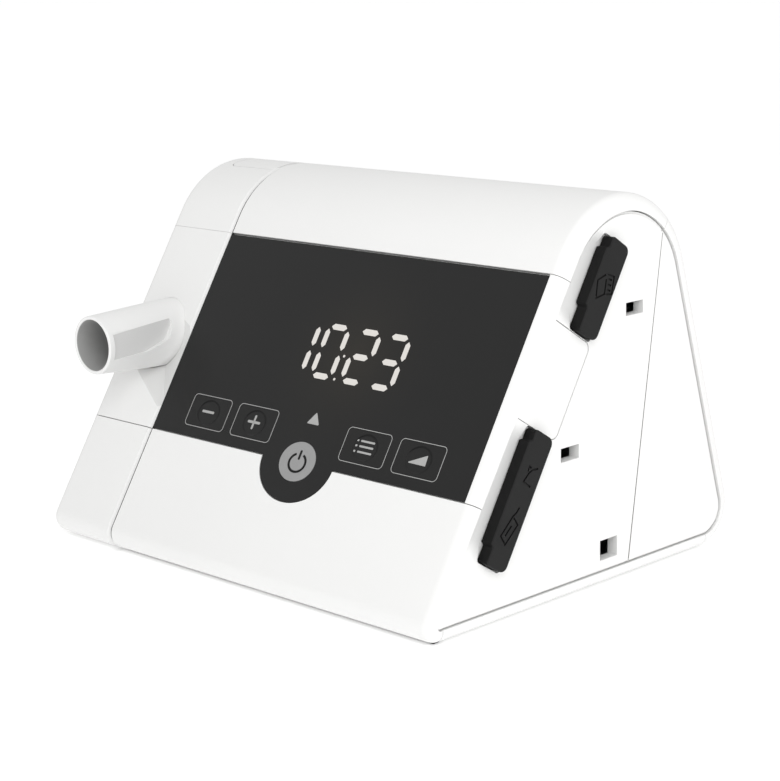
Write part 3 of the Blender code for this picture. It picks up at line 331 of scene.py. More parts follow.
def sliceStations():
    radius = housing["leftRound"]
    stations = [(radius * a, radius * b, 0, radius + housing["rimLip"], 0)
                for a, b in quarter(housing["rimSteps"])]
    return stations + [(radius + wall, 0, 0, wall, 0), (sliceRight - housing["chamferWidth"], 0, 0, wall, 0),
                       (sliceRight, housing["chamferDepth"], 0, wall, 0)]


def insetOutline(run, inset, rim):
    return [(y + ny * (inset + rim * share), z + nz * (inset + rim * share)) for y, z, ny, nz, share in run]


def bake(target):
    view = bpy.context.evaluated_depsgraph_get()
    mesh = bpy.data.meshes.new_from_object(target.evaluated_get(view), depsgraph=view)
    target.modifiers.clear()
    old = target.data
    target.data = mesh
    bpy.data.meshes.remove(old)
    return target


def modify(target, kind, **settings):
    step = target.modifiers.new(kind, kind)
    for name, value in settings.items():
        setattr(step, name, value)
    return step


spent = {}  # helper solids by name, which are removed once the last piece is cut


# Cut, join or intersect with helper solids
def shapeWith(target, *tools, operation="DIFFERENCE"):
    for tool in tools:
        modify(target, "BOOLEAN", operation=operation, object=tool, solver="EXACT")
        spent[tool.name] = tool
    return bake(target)


def breakEdges(target, edge, segments, angle=32):
    modify(target, "BEVEL", width=edge, segments=segments, limit_method="ANGLE", angle_limit=math.radians(angle),
           use_clamp_overlap=True)
    return bake(target)


def smooth(target, crease):
    target.data.shade_smooth()
    target.data.set_sharp_from_angle(angle=math.radians(crease))


def dress(target, material, body):
    target.data.materials.append(material)
    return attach(target, body)


# Let a piece ride on its body and stand for its nodes, which are hidden
def claim(target, material, body, *nodes):
    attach(target, body)
    if nodes:
        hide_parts(*nodes)


# Break the sharp edges as a mould does, smooth the rest, and claim the piece
def complete(target, material, body, *nodes, edge=0.0002, segments=2, crease=44):
    if edge:
        breakEdges(target, edge, segments)
    smooth(target, crease)
    modify(target, "WEIGHTED_NORMAL", keep_sharp=True, weight=80)
    bake(target)
    target.data.materials.clear()
    target.data.materials.append(material)
    claim(target, material, body, *nodes)
    return target


# A finish on top of the first, for the faces that a test picks
def refinish(target, material, test):
    target.data.materials.append(material)
    for face in target.data.polygons:
        if test(face):
            face.material_index = len(target.data.materials) - 1


# Materials
def linear(code):
    parts = [int(code[i:i + 2], 16) / 255 for i in (0, 2, 4)]
    return [((c + 0.055) / 1.055) ** 2.4 if c > 0.04045 else c / 12.92 for c in parts] + [1.0]


def setSockets(node, values):
    for name, value in values.items():
        node.inputs[name].default_value = value


# Add one node: settings name a property or a socket, links name the source of a socket
def addNode(tree, kind, settings=None, links=None):
    node = tree.nodes.new(kind)
    given = settings or {}
    for name, value in given.items():
        if hasattr(node, name):
            setattr(node, name, value)
    setSockets(node, {name: value for name, value in given.items() if not hasattr(node, name)})
    for name, source in (links or {}).items():
        tree.links.new(source, node.inputs[name])
    return node


# A new material, with its tree, its shader and the object's own coordinates
def startMaterial(name):
    material = bpy.data.materials.new(name)
    material.use_nodes = True
    tree = material.node_tree
    place = addNode(tree, "ShaderNodeTexCoord").outputs["Object"]
    return material, tree, tree.nodes["Principled BSDF"], place


def shaderOf(material):
    return material.node_tree.nodes["Principled BSDF"]


# A surface with colour clouds, uneven gloss and a grain in relief; sizes are in millimetres
def surface(name, low, high, gloss, grain, relief, cloud=25.0, metallic=0.0, specular=0.5):
    material, tree, shader, place = startMaterial(name)
    setSockets(shader, {"Metallic": metallic, "Specular IOR Level": specular})
    clouds = addNode(tree, "ShaderNodeTexNoise", {"Scale": 1000 / cloud, "Detail": 3.0}, {"Vector": place})
    colour = addNode(tree, "ShaderNodeMix", {"data_type": "RGBA", "A": linear(low), "B": linear(high)},
                     {"Factor": clouds.outputs["Fac"]})
    fine = addNode(tree, "ShaderNodeTexNoise", {"Scale": 1000 / grain, "Detail": 4.0}, {"Vector": place})
    rough = addNode(tree, "ShaderNodeMapRange", {"To Min": gloss[0], "To Max": gloss[1]},
                    {"Value": fine.outputs["Fac"]})
    bump = addNode(tree, "ShaderNodeBump", {"Strength": 1.0, "Distance": relief / 1000},
                   {"Height": fine.outputs["Fac"]})
    for node, output, socket in ((colour, "Result", "Base Color"), (rough, "Result", "Roughness"),
                                 (bump, "Normal", "Normal")):
        tree.links.new(node.outputs[output], shader.inputs[socket])
    return material


# Injection-moulded ABS, fine spark-eroded mould: a clean satin white that hides small dents
whiteShell = surface("white ABS, satin moulded", "E5E5E4", "E8E8E7", (0.34, 0.42), 0.5, 0.004, 40)
# Polycarbonate overlay film printed black-grey on its back: smooth with a soft sheen
darkFilm = surface("polycarbonate film, velvet printed", "151515", "181818", (0.36, 0.42), 0.3, 0.002, 30,
                   specular=0.27)
# Light-grey screen-print ink on the film: matt and slightly raised
greyInk = surface("screen-print ink, light grey", "9E9E9D", "A8A8A7", (0.5, 0.6), 0.2, 0.003, 3)
# Power key ink, metallic grey under the film
keyInk = surface("screen-print ink, silver grey", "8C8C8C", "949494", (0.42, 0.5), 0.25, 0.003, 8)
# Near-black print for the standby sign, also the painted shade on the keys' dimples
darkInkAndShade = surface("screen-print ink and painted shade, near black", "121212", "181818", (0.5, 0.6), 0.2, 0.002, 5,
                  specular=0.15)
# Thermoplastic rubber, matt moulded: almost black, dull, with a fine leather-like grain
blackRubber = surface("thermoplastic rubber, matt moulded", "202020", "252525", (0.62, 0.74), 0.45, 0.008,
                      12, specular=0.12)
# The same rubber, darker, on the flaps' walls: painted shade where the walls stand in their seats
wallShadeRubber = surface("thermoplastic rubber, painted wall shade", "141414", "181818", (0.6, 0.7), 0.45, 0.004,
                       12, specular=0.1)
# Silicone, moulded: soft grey, with a slightly greasy sheen
greySilicone = surface("silicone, moulded grey", "868A8E", "92969A", (0.5, 0.6), 0.8, 0.008, 15)
# Grey for the inside of the nozzle's bore: painted shade deep in the tube
boreShade = surface("grey, painted shade in the nozzle's bore", "A6A6A5", "ACACAB", (0.5, 0.6), 0.5, 0.004, 20)
# The white shells' ABS, darker and duller: painted shade in the dent beside the nozzle and on the nozzle's flat
dentShade = surface("white ABS, painted dent shade", "D8D8D7", "DBDBDA", (0.5, 0.6), 0.3, 0.004, 20)
flatShade = surface("white ABS, painted flat shade", "CECECD", "D3D3D2", (0.55, 0.65), 0.3, 0.004, 20)
# Plain inner mouldings, dull and even
greyPlastic = surface("ABS, moulded grey", "97999C", "A2A4A7", (0.45, 0.55), 0.6, 0.008, 20)
darkPlastic = surface("nylon, moulded black", "1C1C1C", "242424", (0.42, 0.5), 0.5, 0.006, 15)
# Turned steel: bright, with fine tool marks
steel = surface("stainless steel, turned", "B4B7BA", "C2C4C7", (0.25, 0.36), 0.25, 0.003, 6, metallic=1.0)
# Glossy lacquer and laminate of the electronics
boardGreen = surface("circuit board, solder resist", "1B5236", "22633F", (0.3, 0.42), 0.7, 0.02, 4)
ribbonFilm = surface("polyimide ribbon, laminated", "A8692F", "BD8244", (0.25, 0.35), 0.8, 0.01, 5)
# Filter media: rough and dead matt
openFoam = surface("polyurethane foam, open cell", "3A3D42", "565A60", (0.9, 1.0), 0.9, 0.5, 1.2)
filterFleece = surface("polyester fleece, pressed", "DEDED6", "F0F0EA", (0.85, 0.95), 0.25, 0.1, 1.0)
print("materials made")

# Printed marks, raised a hair above the surface they lie on
markRise = 0.00003


def marks(name, outlines, material, body, depth=0.0):
    shape = bmesh.new()
    for outline in outlines:
        addLoft(shape, [[onFront(x, down, depth - rise) for x, down in outline] for rise in (0, markRise)])
    return dress(closeShape(name, shape), material, body)


# Control panel: film, five keys, figures
panel = {
    "filmThickness": 0.0008, "frameThickness": 0.0018, "edgeInset": 0.0001, "topInset": 0.0003,
    "ovalShare": 0.852, "ovalShift": 0.0003, "lobeRadius": 0.0174, "lobeRise": 0.0005,
    "windowWidth": 0.062, "windowHeight": 0.024, "windowRise": 0.0305,
    "keyHeight": 0.0119, "keyGap": 0.00455, "endMargin": 0.01475, "centreClearance": 0.0177,
    "keyCorner": 0.0015, "rowRise": 0.0105, "powerRadius": 0.0086, "powerRise": 0.0005,
    "keySlit": 0.00006, "keyEdge": 0.00008, "keyThickness": 0.0011,
    "lineStart": 0.00005, "lineWidth": 0.00023, "lineSink": 0.00002,
    "domeRadius": 0.0057, "domeDip": 0.00022, "steps": 96,
    "domeStages": ((1.0, 0), (0.985, 0.06), (0.95, 0.6), (0.92, 0.94), (0.9, 1.0), (0.5, 0.8), (0.1, 0.7)),
    "shadeOuter": 0.00568, "shadeInner": 0.00528, "shadeShift": 0.00032, "shadeSink": 0.00001,
    "shadeDepths": (0.00012, 0.00020),
    "haloRight": 0.0068, "haloDrop": 0.0465, "haloScale": 24, "haloStrength": 0.014,
}
filmDepth = panel["filmThickness"] + gap
frameBack = filmDepth + panel["frameThickness"]
keyRow = panelBottom - panel["rowRise"]
powerDrop = panelBottom - panel["powerRise"]
lobeDrop = panelBottom - panel["lobeRise"]
ovalShare, ovalX = panel["ovalShare"], panelCentre - panel["ovalShift"]
keyWidth = (panelCentre - mainLeft - gap - panel["endMargin"] - panel["centreClearance"] - panel["keyGap"]) / 2
innerKey = panel["centreClearance"] + keyWidth / 2
outerKey = innerKey + keyWidth + panel["keyGap"]
keys = {"minus_key": -outerKey, "plus_key": -innerKey, "list_key": innerKey, "ramp_key": outerKey}


def oval(radius, down, steps=panel["steps"], x=ovalX):
    return [(x + a, down + b * ovalShare) for a, b in circle(radius, steps)]


def filmOutline():
    left, bottom = shellLeft + panel["edgeInset"], panelBottom - gap
    top, radius = panelTop + gap + panel["topInset"], panel["lobeRadius"]
    start = math.asin((bottom - lobeDrop) / radius / ovalShare)
    lobe = [(ovalX + radius * math.cos(turn), lobeDrop + radius * ovalShare * math.sin(turn))
            for turn in spread(start, math.pi - start, panel["steps"])]
    return [(left, top), (filmRight, top), (filmRight, bottom)] + lobe + [(left, bottom)]


def keyOutline(offset, grow):
    return roundedBox(panelCentre + offset, keyRow, keyWidth + 2 * grow, panel["keyHeight"] + 2 * grow,
                      panel["keyCorner"] + grow)


# The film over the figures lets a little of their warm light spread
filmTree = darkFilm.node_tree
haloScale = panel["haloScale"]
middle = onFront(panelCentre + panel["haloRight"], panel["haloDrop"], 0)
place = addNode(filmTree, "ShaderNodeTexCoord").outputs["Object"]
local = addNode(filmTree, "ShaderNodeMapping", {"Scale": [haloScale] * 3, "Location": -haloScale * middle},
                {"Vector": place})
halo = addNode(filmTree, "ShaderNodeTexGradient", {"gradient_type": "QUADRATIC_SPHERE"},
               {"Vector": local.outputs[0]})
warmth = addNode(filmTree, "ShaderNodeMapRange", {"To Min": 0.0, "To Max": panel["haloStrength"]},
                 {"Value": halo.outputs["Fac"]})
filmTree.links.new(warmth.outputs["Result"], shaderOf(darkFilm).inputs["Emission Strength"])
setSockets(shaderOf(darkFilm), {"Emission Color": linear("E8CC96")})

film = block("controlPanelFilm", onFront, filmOutline(), 0, panel["filmThickness"])
windows = [block(name + "Window", onFront, keyOutline(offset, 0), -overrun, overrun)
           for name, offset in keys.items()]
shapeWith(film, *windows, block("powerWindow", onFront, oval(panel["powerRadius"], powerDrop), -overrun, overrun))
complete(film, darkFilm, "housing", "control_panel_film", edge=0.0001)


# The outline of a key with a point at every few degrees, seen from its centre
def keyRays(offset, grow):
    corners = [Vector(point) for point in keyOutline(offset, grow)]
    centre = Vector((panelCentre + offset, keyRow))
    points = []
    for ray in circle(1, panel["steps"]):
        ray = Vector(ray)
        for a, b in zip(corners, corners[1:] + corners[:1]):
            across, start = b - a, a - centre
            slant = ray.cross(across)
            if abs(slant) > 1e-12:
                reach, along = start.cross(across) / slant, start.cross(ray) / slant
                if reach > 0 and 0 <= along <= 1:
                    points.append(tuple(centre + ray * reach))
                    break
    return points


for name, offset in keys.items():
    outline = keyRays(offset, -panel["keySlit"])
    x = panelCentre + offset
    rows = [(outline, panel["keyThickness"]), (outline, panel["keyEdge"]),
            (keyRays(offset, -panel["keySlit"] - panel["keyEdge"]), 0)]
    rows += [(oval(panel["domeRadius"] * share, keyRow, x=x), panel["domeDip"] * dip)
             for share, dip in panel["domeStages"]]
    complete(stack(name.replace("_key", "Key"), onFront, rows), darkFilm, name, name, edge=0)
    near, far = (keyOutline(offset, panel["lineStart"] + width) for width in (0, panel["lineWidth"]))
    frameLine = stack(name.replace("_key", "KeyLine"), onFront, [
        (near, panel["lineSink"]), (near, -markRise), (far, -markRise), (far, panel["lineSink"])], ring=True)
    dress(frameLine, greyInk, "housing")
    # Painted shade: a dark crescent on the dimple's slope, widest at its upper right, where the dimple's own
    # shadow falls
    outer = oval(panel["shadeOuter"], keyRow, x=x)
    inner = oval(panel["shadeInner"], keyRow + panel["shadeShift"] * ovalShare, x=x - panel["shadeShift"])
    crescent = stack(name.replace("_key", "KeyShade"), onFront, [
        (outer, panel["shadeSink"]), (outer, -markRise), *((inner, depth) for depth in panel["shadeDepths"])],
        ring=True)
    dress(crescent, darkInkAndShade, name)

# Signs on the keys; places are from the panel's centre and from the row of keys
signs = {
    "bar": 0.0064, "plusHeight": 0.0054, "stroke": 0.00095, "left": 0.0005, "up": 0.0002,
    "listRows": (-0.0021, -0.0002, 0.0018), "listStroke": 0.0007, "listLine": (0.0281, 0.0066),
    "listDot": (0.0234, 0.0009), "smallRound": 0.0002, "levelRound": 0.0003,
    "ramp": ((0.0478, 0.0016), (0.0559, -0.0021), (0.0562, 0.0017)),
    "level": ((0.0001, -0.0085), (0.0032, -0.0040), (-0.0029, -0.0040)),
    "ringInner": 0.0034, "ringOuter": 0.0044, "ringEnds": (-64, 244), "ringSteps": 48, "signDrop": 0.0004,
    "stemRight": 0.0001, "stemRise": 0.0029, "stemLength": 0.0036, "stemStroke": 0.0010, "signDepth": 0.00016,
    "roundShare": 0.45, "dipShare": 0.8,
}
iconDepth = panel["domeDip"] * signs["dipShare"]


def bar(x, y, width, height, radius=None):
    return roundedBox(x, y, width, height, radius or min(width, height) * signs["roundShare"], 4)


def triangle(corners, radius):
    return rounded([(panelCentre + a, keyRow + b, radius) for a, b in corners], 3)


across = (signs["bar"], signs["stroke"])
minusX, plusX = (panelCentre - offset - signs["left"] for offset in (outerKey, innerKey))
barY = keyRow - signs["up"]
marks("minusMark", [bar(minusX, barY, *across)], greyInk, "minus_key", iconDepth)
marks("plusMark", [bar(plusX, barY, *across), bar(plusX, barY, signs["stroke"], signs["plusHeight"])],
      greyInk, "plus_key", iconDepth)
listLines = [bar(panelCentre + x, keyRow + row, length, signs["listStroke"], radius)
             for row in signs["listRows"]
             for (x, length), radius in ((signs["listLine"], None), (signs["listDot"], signs["smallRound"]))]
marks("listMark", listLines, greyInk, "list_key", iconDepth)
marks("rampMark", [triangle(signs["ramp"], signs["smallRound"])], greyInk, "ramp_key", iconDepth)
marks("levelMark", [triangle(signs["level"], signs["levelRound"])], greyInk, "housing")

# Power key: a shallow step between an outer ring and the thumb dish, with a dark standby sign
powerStages = ((0.00854, 0.0011), (0.00854, 0.0001), (0.00846, 0), (0.0060, 0), (0.0058, 0.00005),
               (0.0056, 0.00014), (0.0053, 0.00018), (0.0030, 0.00016), (0.0005, 0.00015))
powerKey = stack("powerKey", onFront, [(oval(radius, powerDrop), depth) for radius, depth in powerStages])
complete(powerKey, keyInk, "power_key", "power_key", edge=0)
signY = powerDrop + signs["signDrop"]
turns = spread(*(math.radians(end) for end in signs["ringEnds"]), signs["ringSteps"])
ring = [(ovalX + radius * math.cos(turn), signY + radius * math.sin(turn) * ovalShare)
        for radius, way in ((signs["ringOuter"], 1), (signs["ringInner"], -1)) for turn in turns[::way]]
stem = bar(ovalX + signs["stemRight"], signY - signs["stemRise"], signs["stemStroke"], signs["stemLength"])
marks("standbyMark", [ring, stem], darkInkAndShade, "power_key", signs["signDepth"])

# Figures of the clock: warm white bars with pointed ends, lit from behind the film
glow, glowTree, shader, place = startMaterial("light guide, warm white lit")
patch = addNode(glowTree, "ShaderNodeTexNoise", {"Scale": 900.0, "Detail": 2.0}, {"Vector": place})
light = addNode(glowTree, "ShaderNodeMix", {"data_type": "RGBA", "A": linear("E3DFDA"), "B": linear("EFEBE6")},
                {"Factor": patch.outputs["Fac"]})
glowTree.links.new(light.outputs["Result"], shader.inputs["Emission Color"])
setSockets(shader, {"Base Color": linear("3A3836"), "Roughness": 0.5, "Emission Strength": 0.84})

figures = {
    "stroke": 0.0022, "tipShare": 0.56, "round": 0.00014, "dotRadius": 0.0005, "dotSteps": 20,
    "rows": (0.0371, 0.0465, 0.0557), "columns": ((0.0381, 0.0454), (0.0472, 0.0545)),
    "across": ((-0.0089, -0.0013, 0), (-0.0089, -0.0013, 2), (0.0064, 0.0142, 0), (0.0063, 0.0136, 1),
               (0.0061, 0.0135, 2), (0.0206, 0.0283, 0), (0.0205, 0.0277, 1), (0.0200, 0.0276, 2)),
    "down": ((-0.0146, 0), (-0.0148, 1), (-0.0098, 0), (-0.0098, 1), (-0.0002, 0), (-0.0002, 1),
             (0.0152, 0), (0.0052, 1), (0.0293, 0), (0.0288, 1)),
    "dots": ((0.0023, 0.0471), (0.0019, 0.0559)),
}


# A bar with pointed ends; start and stop are places from the panel's centre
def segment(start, stop):
    half, tip = figures["stroke"] / 2, figures["stroke"] * figures["tipShare"]
    start, stop = Vector(start), Vector(stop)
    along = (stop - start).normalized()
    side = Vector((along.y, -along.x)) * half
    along *= tip
    points = (start, start + along + side, stop - along + side, stop, stop - along - side, start + along - side)
    return rounded([(panelCentre + x, y, figures["round"]) for x, y in points], 3)


heights = figures["rows"]
segments = [segment((a, heights[row]), (b, heights[row])) for a, b, row in figures["across"]]
segments += [segment(*((x, y) for y in figures["columns"][half])) for x, half in figures["down"]]
segments += [[(panelCentre + x + a, y + b) for a, b in circle(figures["dotRadius"], figures["dotSteps"])]
             for x, y in figures["dots"]]
marks("clockFigures", segments, glow, "housing")
print("control panel made")

# Main shells
flap = {
    "cardDepth": 0.0134, "portDepth": 0.0108, "step": 0.0014, "width": 0.0116, "corner": 0.0025,
    "smallCorner": 0.0006, "stand": 0.003, "sink": 0.0017, "end": 0.0044, "cardTail": 0.0087,
    "portTail": 0.0062, "clearance": 0.0004, "lipShare": 0.35,
    "cardRise": 0.0143, "cardLength": 0.0343, "portRise": 0.0707, "portLength": 0.047,
    "edgeRound": 0.0005, "shoulderRound": 0.0012, "slopeBefore": 0.0003, "slopeAfter": 0.0004,
    "iconDepth": 0.0005, "iconLine": 0.00065, "iconClear": 0.001, "iconStep": 0.00001,
    "scoopSteps": 8, "scoopRows": 40, "scoopReach": 0.0004, "fadeShare": 0.16,
}
portDrop = frontLength - flap["portRise"]
tab = {"drop": 0.0208, "depth": 0.0265, "corner": 0.0028, "sink": 0.0002, "lipShare": 0.7}
slots = {"width": 0.0094, "heights": (0.0045, 0.0048, 0.0071), "depth": 0.0041, "frame": 0.0012,
         "ridgeY": 0.0044, "ridgeDrop": 0.0030, "lineDepth": 0.036, "baseY": -0.0088, "baseRise": 0.0102}
outside, behind = rightEnd + overrun, panelBack - overrun


def rimDepth(down):
    inset = housing["rimInset"] + housing["rimLip"] * flap["lipShare"]
    if down < 0:
        return ridgeRadius - math.sqrt((ridgeRadius - inset) ** 2 - down ** 2)
    return inset * frontShare(down)


# Seat under a flap, cut to the flap's own plan
def flapSeat(name, down, length, depth):
    grow, width = flap["clearance"], flap["width"]
    outline = roundedBox(down + length / 2, depth + width / 2, length + 2 * grow, width + 2 * grow,
                         flap["corner"] / 2)
    return block(name, onSide, outline, rightEnd - flap["sink"] - gap, outside)


# Scoop that rises from a flap's seat to the rim in front of it and fades out at both ends
def flapScoop(name, down, length, depth):
    loops = []
    first, last = down - flap["clearance"] - flap["scoopReach"], down + length + flap["scoopReach"]
    front = depth + flap["step"]
    for along in spread(0, 1, flap["scoopRows"]):
        end = first + (last - first) * along
        edge = min(rimDepth(end), front - gap)
        fade = min(1, min(along, 1 - along) / flap["fadeShare"])
        dip = (flap["sink"] + gap) * fade * fade * (3 - 2 * fade) - gap / 20
        outline = [(edge + (front - edge) * share, rightEnd - dip * share * (2 - share))
                   for share in spread(0, 1, flap["scoopSteps"])]
        loops.append([onFront(x, end, inset) for inset, x in [(edge, outside)] + outline + [(front, outside)]])
    return loft(name, loops)


def tabOutline(grow, front=None):
    start, stop = tab["drop"] - grow, portDrop - flap["clearance"] - gap / 2 + grow
    root = housing["rimInset"] + housing["rimLip"] * tab["lipShare"]
    edges = [root * frontShare(down) if front is None else front for down in (start, stop)]
    far, corner = tab["depth"] + grow, tab["corner"] + grow
    return rounded([(start, edges[0], 0), (start, far, corner), (stop, far, corner), (stop, edges[1], 0)])


cardPlace = (-flap["cardRise"], flap["cardLength"], flap["cardDepth"])
portPlace = (portDrop, flap["portLength"], flap["portDepth"])
cardScoop, portScoop = flapScoop("cardScoop", *cardPlace), flapScoop("portScoop", *portPlace)
flapCuts = [cardScoop, portScoop, flapSeat("cardSeat", *cardPlace), flapSeat("portSeat", *portPlace)]

topRun = chain(ridgeRun(housing["rearSeam"] - gap / 2 / ridgeRadius, -housing["frontSlope"]),
               frontRun(0, panelTop - gap / 2))
topCover = shapeWith(shell("topCover", topRun, mainStations(wall)), cardScoop)
complete(topCover, whiteShell, "housing", "top_cover")

displayFrame = shell("displayFrame", frontRun(panelTop + gap / 2, panelBottom - gap / 2, 8),
                     mainStations(frameBack, filmDepth))
shapeWith(displayFrame, block("frameTab", onSide, tabOutline(0), panelBack, rightEnd - tab["sink"]),
          operation="UNION")
window = roundedBox(panelCentre, keyRow - panel["windowRise"], panel["windowWidth"], panel["windowHeight"],
                    panel["keyCorner"])
openings = [block("figureWindow", onFront, window, -overrun, frameBack + overrun / 2)]
openings += [block(name + "Hole", onFront, keyOutline(offset, gap), -overrun, overrun)
             for name, offset in keys.items()]
powerHole = block("powerHole", onFront, oval(panel["powerRadius"] + gap, powerDrop), -overrun,
                  frameBack + gap / 2)
shapeWith(displayFrame, *openings, powerHole, *flapCuts)
complete(displayFrame, whiteShell, "housing", "display_frame")

lowRun = chain(frontRun(panelBottom + gap / 2, frontLength, 4), frontFootRun())
lobe = block("lobeRecess", onFront, oval(panel["lobeRadius"] + gap, lobeDrop, 128), -overrun, filmDepth)
lowerFront = shapeWith(shell("lowerFrontCover", lowRun, mainStations(wall)), lobe, powerHole, portScoop)
complete(lowerFront, whiteShell, "housing", "lower_front_cover")

halfSeam = housing["sideSeam"] / 2
sideRun = chain(ridgeRun(housing["rearSeam"], -housing["frontSlope"]), frontRun(0, frontLength), frontFootRun(),
                bottomRun(frontFootY, housing["rearSeamFoot"] - halfSeam))
rearRun = chain(bottomRun(housing["rearSeamFoot"] + halfSeam, backFootY), backFootRun(), backRun(),
                ridgeRun(housing["backSlope"], housing["rearSeam"] + housing["sideSeam"] / ridgeRadius))


# A side panel: flat, with a stepped edge that makes the groove along the rim. The groove is widest
# at the back and closes to a hairline along the sloping front
def sidePlate(name, run):
    depth, width, small = housing["grooveDepth"], housing["grooveWidth"], housing["grooveRound"]
    stages = [(panelBack, gap), (rightEnd - depth, gap), (rightEnd - depth, gap + width)]
    stages += [(rightEnd - small * b, gap + width + small * a) for a, b in quarter(housing["grooveSteps"])]
    loops = []
    for x, inset in stages:
        loop = []
        for y, z, ny, nz, share in run:
            full = max(0, min(housing["grooveFull"], 1 - ny / frontSine), min(1, 2 * nz))
            away = gap / 6 + (inset - gap / 6) * full + rimWall * share
            loop.append(spot(x, y + ny * away, z + nz * away))
        loops.append(loop)
    return loft(name, loops)


# The side panel's three slots: under the ridge, in line with the port flap's top, and over the base
inLine = onFront(rightEnd, portDrop, slots["lineDepth"]) - shift
slotPlaces = ((slots["ridgeY"], ridgeZ - slots["ridgeDrop"]), (inLine.y, inLine.z),
              (slots["baseY"], baseTop + slots["baseRise"]))
frames, holes = [], []
for i, ((y, z), height) in enumerate(zip(slotPlaces, slots["heights"])):
    for group, name, near, far, grow in (
            (frames, "slotFrame", rightEnd - slots["depth"], panelBack + gap, slots["frame"]),
            (holes, "slotHole", behind, outside, 0)):
        across, up = slots["width"] / 2 + grow, height / 2 + grow
        group.append(boxBlock(f"{name}{i}", (near, y - across, z - up), (far, y + across, z + up)))
sidePanel = shapeWith(sidePlate("rightSidePanel", sideRun), *frames, operation="UNION")
cutout = block("tabCutout", onSide, tabOutline(gap, 0), behind, outside)
# Openings behind the flaps: drop of the middle, width, height, and thickness of what sits in them
sockets = {"cardSlot": (flap["cardLength"] / 2 - flap["cardRise"], 0.0248, 0.0029, 0.0042),
           "dataPort": (portDrop + 0.0125, 0.0145, 0.0062, 0.0062),
           "modulePort": (portDrop + 0.0345, 0.0165, 0.0052, 0.0052)}
boardDepth, boardThickness = 0.014, 0.0016
socketDepth = boardDepth + boardThickness + gap
ports = [block(name, onSide, roundedBox(down, socketDepth + thick / 2, width, height, flap["smallCorner"]),
               behind, outside) for name, (down, width, height, thick) in sockets.items()]
shapeWith(sidePanel, *holes, cutout, *flapCuts, *ports)
complete(sidePanel, whiteShell, "housing", "right_side_panel")
complete(sidePlate("rearSidePanel", rearRun), whiteShell, "housing", "rear_side_panel")
# Dark strip at the bottom of the seam between the two side panels: painted shade, which stands in for the shadow
# in the seam
inset = 2 * gap + housing["grooveWidth"] * housing["grooveFull"]
sideEdge, rearEdge = (insetOutline(run, inset, rimWall) for run in (sideRun, rearRun))
panelShadeSink = 0.00015
panelSeamShade = block("panelSeamStrip", onProfile, [sideEdge[0], sideEdge[-1], rearEdge[0], rearEdge[-1]],
              panelBack, rightEnd - panelShadeSink)
complete(panelSeamShade, blackRubber, "housing", edge=0)
print("front and side shells made")

# Base, feet and screws
base = {
    "footRadius": 0.006, "footThickness": 0.0016, "footInset": 0.014, "screwHead": 0.003, "screwRise": 0.0011,
    "screwSink": 0.0002, "screwHole": 0.0016, "trayLeft": 0.056, "trayBack": 0.030, "trayWidth": 0.092,
    "trayDepth": 0.068, "bossInset": 0.0050,
}


def cornerSpots(left, right, front, back):
    return [(x, y) for x in (left, right) for y in (front, back)]


inset, boss = base["footInset"], base["bossInset"]
footSpots = cornerSpots(mainLeft + inset, rimStart - inset, frontFootY + inset, backFootY - inset)
screwSpots = cornerSpots(base["trayLeft"] + boss, base["trayLeft"] + base["trayWidth"] - boss,
                         base["trayBack"] - base["trayDepth"] + boss, base["trayBack"] - boss)
sink = housing["footGap"] + base["screwSink"] + base["screwRise"] + gap
footHole, headHole = base["footRadius"] + gap, base["screwHead"] + gap
recesses = []
for name, spots, stages in (
        ("footRecess", footSpots, ((footHole, -overrun), (footHole, base["footThickness"] + gap))),
        ("screwRecess", screwSpots, ((headHole, -overrun), (headHole, sink), (base["screwHole"], sink),
                                     (base["screwHole"], baseTop + gap)))):
    recesses += [turned(f"{name}{i}", spot, stages, u=x, v=y) for i, (x, y) in enumerate(spots)]
basePlate = shell("basePlate", bottomRun(frontFootY + gap, backFootY - gap), mainStations(wall))
complete(shapeWith(basePlate, *recesses), whiteShell, "housing", "base_plate")

# Black rubber strip under the front edge: painted shade, which stands in for the contact shadow along the table
frontShadeEdge = ((0.0001, 0.00015), (0.003, 0.00015), (0.003, 0.0012), (0.0001, 0.00102))
frontShade = block("frontSkirt", onProfile, [(frontFootY + a, z) for a, z in frontShadeEdge], mainLeft, rimStart)
complete(frontShade, blackRubber, "housing", edge=0.0001)


# Copies of a small part on a grid of points: the tree's inputs are the grid's size and the part
def repeatTree(name):
    tree = bpy.data.node_groups.new(name, "GeometryNodeTree")
    for way in ("INPUT", "OUTPUT"):
        tree.interface.new_socket("Geometry", in_out=way, socket_type="NodeSocketGeometry")
    inputs = {"Size X": "Float", "Size Y": "Float", "Count X": "Int", "Count Y": "Int", "Part": "Object",
              "Finish": "Material"}
    sockets = [tree.interface.new_socket(label, in_out="INPUT", socket_type="NodeSocket" + kind).identifier
               for label, kind in inputs.items()]
    given = addNode(tree, "NodeGroupInput").outputs
    grid = addNode(tree, "GeometryNodeMeshGrid", {}, {
        "Size X": given["Size X"], "Size Y": given["Size Y"], "Vertices X": given["Count X"],
        "Vertices Y": given["Count Y"]})
    part = addNode(tree, "GeometryNodeObjectInfo", {"transform_space": "ORIGINAL"}, {"Object": given["Part"]})
    copies = addNode(tree, "GeometryNodeInstanceOnPoints", {}, {
        "Points": grid.outputs["Mesh"], "Instance": part.outputs["Geometry"]})
    solid = addNode(tree, "GeometryNodeRealizeInstances", {}, {"Geometry": copies.outputs["Instances"]})
    done = addNode(tree, "GeometryNodeSetMaterial", {}, {
        "Geometry": solid.outputs["Geometry"], "Material": given["Finish"]})
    addNode(tree, "NodeGroupOutput", {}, {"Geometry": done.outputs["Geometry"]})
    return tree, sockets


repeat, repeatSockets = repeatTree("repeatOnGrid")


def repeated(name, part, finish, size, count, centre):
    thing = link(name, bpy.data.meshes.new(name))
    step = modify(thing, "NODES", node_group=repeat)
    for socket, value in zip(repeatSockets, (*size, *count, part, finish)):
        step[socket] = value
    bake(thing)
    thing.data.transform(Matrix.Translation(centre))
    bpy.data.objects.remove(part)
    return thing


